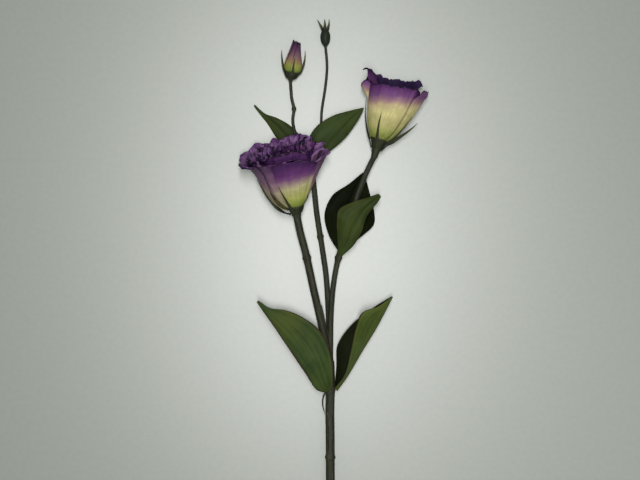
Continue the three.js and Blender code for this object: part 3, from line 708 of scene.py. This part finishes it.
# frame gives the root, how far the axis leans to the right and how far it tips up. calyx and heart,
# the receptacle, are turned about the axis through (radius, height). A sepal's foot is its width
# there, and broad says how much broader it starts.
BLOOM_LEFT = {
    "frame": ((-28.1, 40, 23.4), -9.6, 16),
    "stalk": "left",
    "calyx": [(3.2, -6), (3.7, -3.4), (4.8, -0.8), (6.3, 2), (5.4, 2.9)],
    "heart": [(3.4, 0.5), (5.4, 5), (4.4, 9)],
    "petals": [
        dict(turn=6, spread=42, width=1.35, line=[(3.8, 0.5), (12, 9), (19.5, 31), (28, 43)],
             slant=(-1.5, -6), ruffle=0.4, corner=0.06, lip=0.8, lean=0.12, tone=0.5),
        dict(turn=73, spread=35, width=0.9, line=[(3.8, 0.3), (12, 7.5), (20, 24), (30, 38)],
             slant=(3, 6), ruffle=0.6, corner=0.1, lip=0.8, tone=1.0),
        dict(turn=-100, spread=44, line=[(4, -0.5), (26, 6), (18, 31), (34.5, 41)], slant=(6, 0), corner=0.05,
             lap=-3, ruffle=0.4, lip=1.2, tone=0.9),
        dict(turn=150, spread=48, line=[(4, -0.5), (15, 9), (19, 32), (24, 49.5)], slant=(2, 0)),
        dict(turn=-142, spread=46, line=[(4, -0.5), (16, 8), (22, 30), (28, 47.5)]),
        dict(turn=-48, spread=36, line=[(3.8, 0.3), (15, 7.5), (23, 27), (29, 41.5)], ruffle=0.5, lip=1.0,
             tone=0.9),
        *whorl(5, 46, 11, [(3.2, 1), (14, 8), (18, 30), (25, 45)], **RUFFLED, own={
            0: dict(turn=80, spread=40, line=[(3.2, 1), (14, 8), (19, 30), (27, 44.5)], ruffle=1.2,
                    corner=0.15, tone=1.0),
            4: dict(turn=-10, spread=54, line=[(3.2, 1), (14, 8), (18, 30), (24, 47.5)], ruffle=0.8,
                    waves=1.6),
        }),
        *whorl(6, 12, 23, [(3, 1), (12, 8), (16, 30), (20, 46.5)], **RUFFLED, spread=40),
        *whorl(5, 50, 37, [(2.8, 1), (9, 9), (12.5, 30), (15, 48)], **RUFFLED, spread=44),
        *whorl(5, 5, 53, [(2.5, 1), (7, 10), (9, 30), (10, 48.5)], **RUFFLED, spread=48),
        *whorl(3, 75, 59, [(2, 1), (4, 10), (5, 30), (5, 47)], **RUFFLED, spread=60),
    ],
    "sepals": [
        dict(turn=-86, line=[(4.4, -4), (15, 0.5), (20, 13), (24.5, 28)], foot=2.6, twist=65),
        dict(turn=-32, line=[(4.4, -4), (10, 3), (16, 12), (21, 22.5)], foot=2.4),
        dict(turn=66, line=[(4.4, -4), (8, 0), (12, 4), (15, 11)], foot=2.6),
        dict(turn=134, line=[(4.4, -4), (10, 3), (17, 12), (21, 26)], foot=2.6),
        dict(turn=-150, line=[(4.4, -4), (10, 3), (19, 10), (24, 24)], foot=2.6),
    ],
}

BLOOM_RIGHT = {
    "frame": ((34.2, 91, 16.6), 15, 5),
    "stalk": "right",
    "drift": 0.11,
    "calyx": [(2.3, -13), (2.8, -9.5), (4, -4.5), (5.6, -0.8), (6.8, 1.5), (6, 2.3)],
    "heart": [(4.2, 0), (7.2, 4), (5, 8)],
    "petals": [
        dict(turn=68, spread=25, line=[(4.6, 0), (13.5, 5), (20, 22), (26, 44.5)], corner=0.12, ruffle=0.2,
             frill=0.15, lip=0.5, top=0.77),
        dict(turn=-26, spread=46, width=0.86, line=[(4.4, 0), (9.5, 5), (17.7, 22), (19.5, 41.5)],
             slant=(-2, 2), ruffle=0.3, corner=0.03, frill=0.2, lip=0.5),
        dict(turn=42, spread=44, width=0.86, line=[(4.4, 0), (10.5, 6), (18.7, 22), (20.5, 43.5)],
             slant=(0, -1.5), ruffle=0.4, corner=0.04, frill=0.25, lip=0.6),
        dict(turn=162, spread=50, line=[(4.6, -0.5), (12, 5), (17, 24), (20, 47.5)], ruffle=0.3, frill=0.12,
             lip=0.6),
        dict(turn=-98, spread=46, line=[(5.6, -0.5), (8.5, 5), (16.5, 20), (17.5, 43)], slant=(1, -1),
             ruffle=0.4, corner=0.05, frill=0.2, lip=0.4, belly=6.2, drift=0.2),
        *whorl(5, -82, 71, [(3.2, 1), (10, 8), (16, 24), (17.5, 48.8)], **CUPPED, own={
            0: dict(tips=[(-0.15, 0.22, 11.6, 5.6, 11.0, 4.0), (0.6, 0.06, 1.6, 0.4, 0, 0)]),
            1: dict(line=[(3.2, 1), (10, 8), (16, 24), (17, 42)]),
            2: dict(line=[(3.2, 1), (10, 8), (16, 24), (17, 43.5)]),
            3: dict(tips=[(-0.75, 0.2, 15.0, 6.0, 11.5, -3.0)]),
        }),
    ],
    "sepals": [
        dict(turn=-14, line=[(4.2, -6), (9, 2), (15, 11), (18, 21)], foot=2.2),
        dict(turn=72, line=[(4.2, -6), (9, 2), (15.5, 11), (19, 24)], foot=2.4),
        dict(turn=94, line=[(4.2, -7), (8.5, 2.5), (19, 9), (25, 20.5)], foot=3.4, twist=60),
        dict(turn=-90, line=[(4.2, -6), (8, 2), (14.5, 11), (17, 27)], foot=2.2, twist=35),
        dict(turn=176, line=[(4.2, -6), (9, 2), (16, 12), (18.5, 24)], foot=2.2),
    ],
}

BUD_HALF_OPEN = {
    "frame": ((-31.7, 140.4, 7.4), 9.5, 1),
    "stalk": "half_open",
    "broad": 0.5,
    "calyx": [(1.35, -3.6), (2.7, -1.4), (4.5, 1.6), (4.6, 3), (3.4, 3.6)],
    "heart": [(2.6, 2.1), (4.2, 8), (3, 18)],
    "petals": whorl(
        4, 30, 83, [(2.2, 2.4), (9.8, 5.2), (4.6, 14), (2.4, 26.4)], spread=62, swirl=46, lap=0.6,
        corner=0.04, ruffle=0.3, frill=0.15, pleat=0.12, lip=0.3, curl=120,
    ),
    "sepals": [
        dict(turn=-84, line=[(2.4, -1.8), (6, 3), (8.8, 9), (10.4, 18.5)], foot=2.6, twist=60),
        dict(turn=84, line=[(2.4, -1.8), (7, 3), (9.6, 11), (7.4, 21)], foot=2.6, twist=60),
        dict(turn=8, line=[(2.4, -1.8), (6, 2), (7.4, 7), (6.6, 14)], foot=2.4),
        dict(turn=-140, line=[(2.4, -1.8), (6, 2), (6.8, 10), (7, 18)], foot=2.2),
        dict(turn=150, line=[(2.4, -1.8), (6, 2), (6.8, 10), (7, 16)], foot=2.2),
    ],
}

BUD_CLOSED = {
    "frame": ((-5.6, 163.6, 4.9), -1, 0),
    "stalk": "closed",
    "broad": 0.3,
    "rise": 0.18,
    "calyx": [(1.15, 0), (2.9, 2.6), (3.75, 6.5), (3.3, 10), (1.9, 12.6)],
    "sepals": [
        dict(turn=-96, line=[(1.2, 9.5), (1.8, 13), (3.2, 15.5), (5.8, 20.4)], foot=2.8, twist=60),
        dict(turn=-12, line=[(1.2, 9.5), (1.8, 13), (1.6, 16), (1.2, 20.5)], foot=3),
        dict(turn=84, line=[(1.2, 9.5), (1.8, 13), (3.4, 16), (3.1, 20.5)], foot=2.6, twist=60),
        dict(turn=178, line=[(1.2, 9.5), (1.8, 13), (2, 16), (2.4, 19)], foot=2.4),
    ],
}

PISTIL = {
    "ovary": [(2.4, 8.4), (3, 11), (2.4, 15), (1.1, 17), (1, 25)],
    "lobe": [(0.5, 0), (1.9, 1.4), (1.8, 3), (0.6, 4.2)],
    "lobe_lean": 34,
    "stamens": 5,
    "stamen": [(2.4, 10), (4, 12), (4.6, 16), (5.4, 20.5)],
    "anther": 2.8,
}


class Room:
    """The space still free inside the petals placed so far, as a radius for each direction and
    height. Petals are placed from the outside in, so that each layer lies inside the last."""

    TURN_STEP, LOWEST, HIGHEST = 3.0, -15, 65

    def __init__(self):
        self.limit = np.full((round(360 / self.TURN_STEP), self.HIGHEST - self.LOWEST), 99.0)

    def cells(self, turn, height):
        return (turn % 360) / self.TURN_STEP, np.clip(height - self.LOWEST, 0, self.limit.shape[1] - 1.001)

    def squeeze(self, turn, radius, height):
        x, y = self.cells(turn, height)
        i, j = np.floor(x).astype(int), np.floor(y).astype(int)
        fx, fy = x - i, y - j
        turns = len(self.limit)
        low = mix(self.limit[i % turns, j], self.limit[(i + 1) % turns, j], fx)
        high = mix(self.limit[i % turns, j + 1], self.limit[(i + 1) % turns, j + 1], fx)
        over = np.maximum(0, radius - mix(low, high, fy) + PETAL_CLEARANCE)
        for _ in range(4):
            padded = np.pad(over, 1, mode="edge")
            around = padded[:-2, 1:-1] + padded[2:, 1:-1] + padded[1:-1, :-2] + padded[1:-1, 2:]
            over = np.maximum(over, around / 4)
        return np.maximum(radius - over, 0.3)

    def around(self, turn, height):
        """The nearest cell, in the middle of the list, with the eight round it."""
        i, j = (np.round(share).astype(int) for share in self.cells(turn, height))
        turns, heights = self.limit.shape
        steps = (-1, 0, 1)
        return [((i + di) % turns, np.clip(j + dj, 0, heights - 1)) for di in steps for dj in steps]

    def fill(self, turn, radius, height):
        for cell in self.around(turn, height):
            np.minimum.at(self.limit, cell, radius)


class Skin(Room):
    """The outermost radius of the petals placed so far."""

    LEAST = 1.5  # a smaller radius counts as bare

    def __init__(self):
        super().__init__()
        self.limit = np.zeros_like(self.limit)

    def fill(self, turn, radius, height):
        np.maximum.at(self.limit, self.around(turn, height)[4], radius)

    def at(self, turn, height):
        return np.max([self.limit[cell] for cell in self.around(turn, height)], axis=0)


def petal_form(p, seed):
    """A petal's turn, radius and height over a fine grid, with its share across, along and to the
    edge. It follows its line, then leaves it in an outward curl at the lip."""
    u, v = grid(*p["grid"], crowd=1.25)
    start = math.pi * draw(seed)
    torn = np.sin(8 * u + start) + 0.6 * np.sin(17 * u + 2 * start) + 0.4 * np.sin(31 * u + 3 * start)
    base = np.minimum(v / LIP_FROM, 1)
    curled = np.maximum(0, (v - LIP_FROM) / (1 - LIP_FROM))
    t = base * (1 - p["corner"] * np.abs(u) ** 3) * (1 + p["notch"] * torn * base**6)
    rim = base**4
    wave = np.sin(np.pi * p["waves"] * u + p["phase"])
    dip = np.cos(0.8 * np.pi * p["waves"] * u + 1.7 * p["phase"])
    frill = p["frill"] * (np.sin(13 * u + start) + 0.6 * np.sin(23 * u + 2 * start))
    frill = frill * smooth_step(0.72, 1, base)
    pleat = p["pleat"] * (np.sin(16 * u + start) + 0.7 * np.sin(27 * u - start)) * np.sin(np.pi * t)
    radii, heights = zip(*p["line"])
    radius = bezier(radii, t) + p["lap"] * u * t + p["ruffle"] * wave * rim + frill + pleat
    height = bezier(heights, t) + np.where(u < 0, -p["slant"][0], p["slant"][1]) * u * t
    height = height + 0.6 * p["ruffle"] * dip * rim
    out, up = bezier_slope(radii, t), bezier_slope(heights, t)
    steep = np.hypot(out, up)
    out, up = out / steep, up / steep
    size = p["lip"] * (0.8 + 0.3 * np.sin(7 * u + 2 * start) + 0.15 * np.sin(19 * u + start))
    size = size * np.clip(1.15 - u**6, 0.15, 1)
    bend = np.radians(p["curl"]) * curled
    onward, aside = size * np.sin(bend), size * (1 - np.cos(bend))
    radius = radius + onward * out + aside * up
    height = height + onward * up - aside * out
    radius = radius + p["belly"] * bump(t, 0.92, 0.085)
    for at, reach, rise, away, droop, twist in p["tips"]:
        beside = (u - at) / reach
        point = np.exp(-(np.abs(beside) ** 1.5)) * smooth_step(0.55, 0.95, v)
        radius = radius + (away + twist * beside) * point
        height = height + rise * point - droop * point**2
    width = p["spread"] * mix(p["width"], 1, np.sin(np.pi / 2 * t))
    turn = p["turn"] + width * u + p["swirl"] * t
    return turn, radius, height, (u, mix(0.9 * t, 1, smooth_step(0.86, 1, v)), curled)


def petals(node, bloom, slot, paint, seed):
    """All petals of a bloom round its receptacle, nested from the outside in."""
    frame_of = Bloom(*bloom["frame"])
    room, made = Room(), Build()
    bloom["skin"] = Skin()
    cup(made, frame_of, bloom["heart"])
    for index, own in enumerate(bloom["petals"]):
        petal = {**PETAL, **own}
        turn, radius, height, (across, along, curled) = petal_form(petal, seed + index)
        radius = room.squeeze(turn, radius, height)
        held = curled == 0
        room.fill(turn[held], radius[held], height[held])
        bloom["skin"].fill(turn, radius, height)
        middle = over_floor(frame_of.at(turn, radius, height), PETAL_THICKNESS)
        aside = radius / 40 * (1 + np.sin(np.radians(turn)))
        drift = bloom.get("drift", 0) * aside + petal["drift"] + petal["lean"] * np.maximum(across, 0)
        along = np.minimum(along - drift * np.sin(np.pi * along), petal["top"])
        tone = petal["tone"] or 0.4 + 0.35 * draw(seed + index + 0.2)
        made.blade(middle, PETAL_THICKNESS * mix(1.3, 0.8, along), placed(across, along, tone))
    made.piece(node, slot, paint)


def turned(profile, rows):
    """Share, radius and height along a smooth line through a profile's points."""
    share = np.linspace(0, 1, rows)
    radius, height, _ = Line([(*point, 0) for point in profile]).at(share).T
    return share, radius, height


def cup(made, frame_of, profile, ribs=0, rise=0.0, skin=None):
    """A turned body through the profile's points, closed at both ends."""
    share, radius, height = turned(profile, CUP_ROWS)
    turn = np.linspace(0, 360, CUP_SIDES, endpoint=False)
    ridges = rise * np.cos(np.radians(ribs * turn))[None, :] * np.sin(np.pi * share)[:, None]
    radius, height = radius[:, None] + ridges, np.broadcast_to(height[:, None], ridges.shape)
    if skin:
        skin.fill(np.broadcast_to(-turn, ridges.shape), radius, height)
    rings = frame_of.at(-turn[None, :], radius, height)
    made.ring_body(rings, placed(np.sin(np.radians(turn)), share[:, None] * 0.3, 0.3))


def sepal(made, frame_of, shape, seed, skin, broad):
    """A keeled blade that leaves the cup broad and ends in a point. It lies on what is under it, or
    stands free with its face twisted upwards."""
    u, v = grid(*SEPAL_GRID)
    radii, heights = zip(*shape["line"])
    half = shape["foot"] / 2 * np.clip(1.03 - v**1.7, 0, 1) ** 0.8
    half = half * (1 + broad * np.exp(-v / 0.16))
    radius, height = bezier(radii, v), bezier(heights, v)
    twist = np.radians(shape.get("twist", 0)) * smooth_step(0.1, 0.4, v)
    out, up = bezier_slope(radii, v), bezier_slope(heights, v)
    steep = np.hypot(out, up)
    sway = 0.3 * np.sin(np.pi * (2 * v + draw(seed))) * v
    aside = half * u * np.cos(twist) + sway
    if skin:
        lying = ease_rows(skin.at(shape["turn"] + np.degrees(aside / radius), height))
        lying = lying + SEPAL_CLEARANCE - SEPAL_SINK * np.exp(-v / SINK_REACH)
        hugging = lying > (radius if shape.get("twist") else Skin.LEAST)
        radius = np.where(hugging, lying, radius)
    lift = half * u * np.sin(twist)
    radius, height = radius + lift * up / steep, height - lift * out / steep
    middle = frame_of.at(shape["turn"] + np.degrees(aside / np.maximum(radius, 1.0)), radius, height)
    middle = over_floor(middle, SEPAL_THICKNESS)
    thickness = SEPAL_THICKNESS * (0.45 + 0.75 * bump(u, 0, 0.35)) * mix(1.2, 0.6, v)
    made.blade(middle, thickness, placed(u, mix(0.15, 1, v), 0.5 + 0.5 * draw(seed + 0.5)))


def ease_rows(values):
    """Evens out steps along a blade."""
    for _ in range(6):
        padded = np.pad(values, ((1, 1), (0, 0)), mode="edge")
        values = (padded[:-2] + 2 * values + padded[2:]) / 4
    return values


def calyx(node, bloom, paint, seed):
    """A ribbed cup and its sepals, which lie on the petals if these were placed before."""
    frame_of = Bloom(*bloom["frame"])
    made, skin = Build(), bloom.get("skin")
    cup(made, frame_of, bloom["calyx"], CUP_RIBS, bloom.get("rise", 0.15), skin)
    for index, shape in enumerate(bloom["sepals"]):
        sepal(made, frame_of, shape, seed + index, skin, bloom.get("broad", 1.5))
    made.piece(node, "calyx", paint)


def tube(made, line, radius, sides=TUBE_SIDES, side=0.0):
    """A round body along a line. radius is read by the share of the length."""
    share = np.linspace(0, 1, max(4, round(line.length / TUBE_STEP)))
    centre = line.at(share)
    ahead = np.gradient(centre, axis=0)
    ahead /= np.linalg.norm(ahead, axis=1, keepdims=True)
    across = np.cross(ahead, [0.0, 0.0, 1.0])
    across /= np.maximum(np.linalg.norm(across, axis=1, keepdims=True), 1e-9)
    rise = np.cross(across, ahead)
    turn = np.linspace(0, 2 * np.pi, sides, endpoint=False)
    out = np.cos(turn)[None, :, None] * across[:, None] + np.sin(turn)[None, :, None] * -rise[:, None]
    rings = centre[:, None] + radius(share)[:, None, None] * out
    made.ring_body(rings, placed(np.cos(turn), share[:, None], 0.5), side)


def pistil(node, bloom, paint):
    """Ovary, style and two stigma lobes, with five stamens round them."""
    made = Build()
    frame_of = Bloom(*bloom["frame"])
    cup(made, frame_of, PISTIL["ovary"], ribs=2, rise=0.15)
    start = frame_of.at(0, 0, PISTIL["ovary"][-1][1] - OVERLAP)
    _, radius, height = turned(PISTIL["lobe"], LOBE_ROWS)
    turn = np.linspace(0, 2 * np.pi, LOBE_SIDES, endpoint=False)
    for way in (-1, 1):
        lean = math.radians(PISTIL["lobe_lean"] * way)
        heading = frame_of.axis * math.cos(lean) + frame_of.side * math.sin(lean)
        across = np.cross(heading, frame_of.up)
        out = np.cos(turn)[:, None] * across + np.sin(turn)[:, None] * frame_of.up
        rings = start + height[:, None, None] * heading + radius[:, None, None] * out[None]
        made.ring_body(rings[:, ::-1], np.zeros(rings.shape))
    radii, heights = zip(*PISTIL["stamen"])
    share = np.linspace(0, 1, 9)
    rise = np.linspace(-0.5, 0.5, 5) * PISTIL["anther"]
    for turn in np.arange(20, 380, 360 / PISTIL["stamens"]):
        line = Line(frame_of.at(turn, bezier(radii, share), bezier(heights, share)))
        tube(made, line, lambda s: mix(0.4, 0.25, s), FILAMENT_SIDES)
        anther = Line(frame_of.at(turn, radii[-1] + 0.35 + 0.25 * rise, heights[-1] + rise))
        tube(made, anther, lambda s: 0.15 + 1.2 * np.sqrt(s * (1 - s)), ANTHER_SIDES, side=1.0)
    made.piece(node, "pistil", paint)


# ---------------------------------------------------------------- stem pieces


def foot_of(bloom):
    """The middle of the foot that a bloom or bud is carried by."""
    return tuple(Bloom(*bloom["frame"]).at(0, 0, bloom["calyx"][0][1] + OVERLAP))


def branch_size(name, line):
    """A branch's radius for each share of its length: swollen at its nodes, or thinned to a point."""
    radius, pointed, _ = STEM_ROUTES[name]

    def size_at(share):
        size = np.full_like(share, radius * 0.98)
        for branch, at, swell, reach in STEM_NODES:
            if branch == name:
                size += radius * (swell - 1) * bump(share * line.length, at * line.length, reach * 0.75)
        if pointed:
            size *= np.clip(1.02 - share**2.5, 0.12, 1)
        return size

    return size_at


def stem(node, paint):
    """Branches joined in one skin, with swollen nodes, fine ridges and a cut end."""
    feet = {bloom["stalk"]: foot_of(bloom) for bloom in (BLOOM_LEFT, BLOOM_RIGHT, BUD_HALF_OPEN, BUD_CLOSED)}
    lines, made, thin = {}, Build(), Build()
    for name, (_, pointed, route) in STEM_ROUTES.items():
        line = lines[name] = Line(route + ([feet[name]] if name in feet else []))
        tube(thin if pointed else made, line, branch_size(name, line))
    points, faces = one_skin(made)
    centre, miles, branch = nearest(points, lines)
    away = points - centre
    depth = np.linalg.norm(away, axis=1, keepdims=True)
    turn = np.arctan2(away[:, 2], away[:, 0])
    relief = RIDGE_RELIEF * np.cos(STEM_RIDGES * turn + branch) * np.minimum(1, depth[:, 0] / 2)
    for name, at, _, _ in STEM_NODES:
        there = (branch == list(lines).index(name)) & (depth[:, 0] < RING_WITHIN)
        relief = relief + RING_RELIEF * there * bump(miles, at * lines[name].length, RING_REACH)
    points = points + away / np.maximum(depth, 1e-6) * relief[:, None]
    joints = [lines[name].at(at) for name, at, _, _ in STEM_NODES]
    browning = sum(bump(np.linalg.norm(points - joint, axis=1), 0, BROWN_REACH) for joint in joints)
    cut = (points[:, 1] < STEM_ROUTES["main"][2][0][1] + CUT_DEPTH) & (depth[:, 0] < CUT_RADIUS)
    skinned = Build()
    place = placed(np.cos(turn), miles / 100, np.clip(browning, 0, 1))
    skinned.add(points, faces, place, cut.astype(float))
    skinned.join(thin)
    data = skinned.mesh(f"{node}_fine")
    wrap = placed(np.cos(turn) * 2.2 + branch * 3, np.sin(turn) * 2.2, miles * 0.035)
    keep(data, "fibre", "FLOAT_VECTOR", "vector", np.concatenate([wrap, np.full((thin.count, 3), 0.5)]))
    put(data, node, paint)


def one_skin(made):
    """The points and faces of one even skin round a build's overlapping bodies."""
    raw = show("stem_raw", made.mesh("stem_raw", in_box=False))
    skin = raw.modifiers.new("skin", "REMESH")
    skin.mode = "VOXEL"
    skin.voxel_size = STEM_VOXEL * MM
    ease = raw.modifiers.new("ease", "SMOOTH")
    ease.factor, ease.iterations = 0.5, 4
    evaluated = raw.evaluated_get(bpy.context.evaluated_depsgraph_get())
    whole = bpy.data.meshes.new_from_object(evaluated)
    points = np.empty(len(whole.vertices) * 3, np.float32)
    whole.vertices.foreach_get("co", points)
    faces = [tuple(polygon.vertices) for polygon in whole.polygons]
    bpy.data.objects.remove(raw)
    return points.reshape(-1, 3) / MM - SHIFT, faces


def nearest(points, lines):
    """For each point, the nearest middle of a branch, how far along it that lies, and which."""
    samples = []
    for number, line in enumerate(lines.values()):
        share = np.linspace(0, 1, max(8, round(line.length)))
        samples.append(np.column_stack([line.at(share), share * line.length, np.full(len(share), number)]))
    samples = np.concatenate(samples)
    tree = kdtree.KDTree(len(samples))
    for index, sample in enumerate(samples):
        tree.insert(sample[:3], index)
    tree.balance()
    found = samples[[tree.find(point)[1] for point in points]]
    return found[:, :3], found[:, 3], found[:, 4]


# ---------------------------------------------------------------- floor, light and camera


def surface():
    """A pale, faintly glossy surface, so that the light above makes a soft glow on it."""
    data = bpy.data.meshes.new("surface")
    corners = [(x * FLOOR_HALF, y * FLOOR_HALF, -FLOOR_DROP) for x, y in ((-1, -1), (1, -1), (1, 1), (-1, 1))]
    data.from_pydata(corners, [], [(0, 1, 2, 3)])
    floor = show("surface", data)
    paint = Paint("surface_paint", roughness=0.36, gloss=0.9)
    grain = paint.noise(paint.object, 260.0, 3.0)
    data.materials.append(paint.finish(paint.blend(grain.between(0.3, 0.7), *FLOOR_GREY)))


def area_light(name, place, target, size, power):
    lamp = bpy.data.lights.new(name, "AREA")
    lamp.shape = "ELLIPSE"
    lamp.size, lamp.size_y = size
    lamp.energy = power
    holder = show(name, lamp)
    holder.location = [part * MM for part in place]
    holder.rotation_mode = "QUATERNION"
    holder.rotation_quaternion = (Vector(target) - Vector(place)).to_track_quat("-Z", "Y")


def light():
    world = bpy.data.worlds.new("room")
    world.use_nodes = True
    back = world.node_tree.nodes["Background"]
    back.inputs["Color"].default_value = ROOM_LIGHT
    back.inputs["Strength"].default_value = ROOM_STRENGTH
    bpy.context.scene.world = world
    area_light("flash", **FLASH)
    area_light("window", **WINDOW)


def camera():
    lens = bpy.data.cameras.new("camera")
    lens.lens, lens.sensor_width = CAMERA_LENS, CAMERA_SENSOR
    lens.clip_start, lens.clip_end = 0.05, 20.0
    holder = show("camera", lens)
    holder.location = [part * MM for part in (*CAMERA_OVER, CAMERA_HEIGHT)]
    bpy.context.scene.camera = holder


# ---------------------------------------------------------------- the spray


def main():
    scene = bpy.context.scene
    scene.view_settings.view_transform = "Standard"
    scene.view_settings.look = "None"
    camera()
    light()
    surface()

    stem("stem", stem_paint())
    # painted shade: the back leaf on both faces, the folded leaf's face and the middling leaf's back
    leaf_paints = {
        "mid": leaf_paint("leaf_mid", MIDDLING, SHADED, crease=0.8),
        "quiet": leaf_paint("leaf_quiet", QUIET, MIDDLING),
        "folded": leaf_paint("leaf_folded", SHADED, BRIGHT, crease=0.7),
        "dark": leaf_paint("leaf_in_shade", SHADED, SHADED, gloss=0.04, edge=SHADED_EDGE),
    }
    for seed, (node, shape) in enumerate(LEAVES.items(), start=101):
        leaf(node, shape, leaf_paints[shape["paint"]], seed)

    left_paint = petal_paint("petal_left", LEFT_BANDS, INNER_BANDS, lit_and_shaded_patches=0.6)
    right_paint = petal_paint("petal_right", RIGHT_BANDS, SHADED_INNER_BANDS)
    bud_paint = petal_paint("petal_bud", BUD_BANDS, BUD_BANDS)
    petals("bloom_left_petals", BLOOM_LEFT, "petal", left_paint, seed=201)
    petals("bloom_right_petals", BLOOM_RIGHT, "petal", right_paint, seed=301)
    petals("bud_half_open_petals", BUD_HALF_OPEN, "bud_petal", bud_paint, seed=401)

    green = green_paint("calyx_green", *CALYX_GREEN)
    calyx("bloom_left_calyx", BLOOM_LEFT, green, seed=501)
    calyx("bloom_right_calyx", BLOOM_RIGHT, green, seed=511)
    calyx("bud_half_open_calyx", BUD_HALF_OPEN, green, seed=521)
    pistil("bloom_right_pistil", BLOOM_RIGHT, pistil_paint())
    calyx("bud_closed", BUD_CLOSED, green_paint("bud_green", *BUD_GREEN), seed=531)


main()
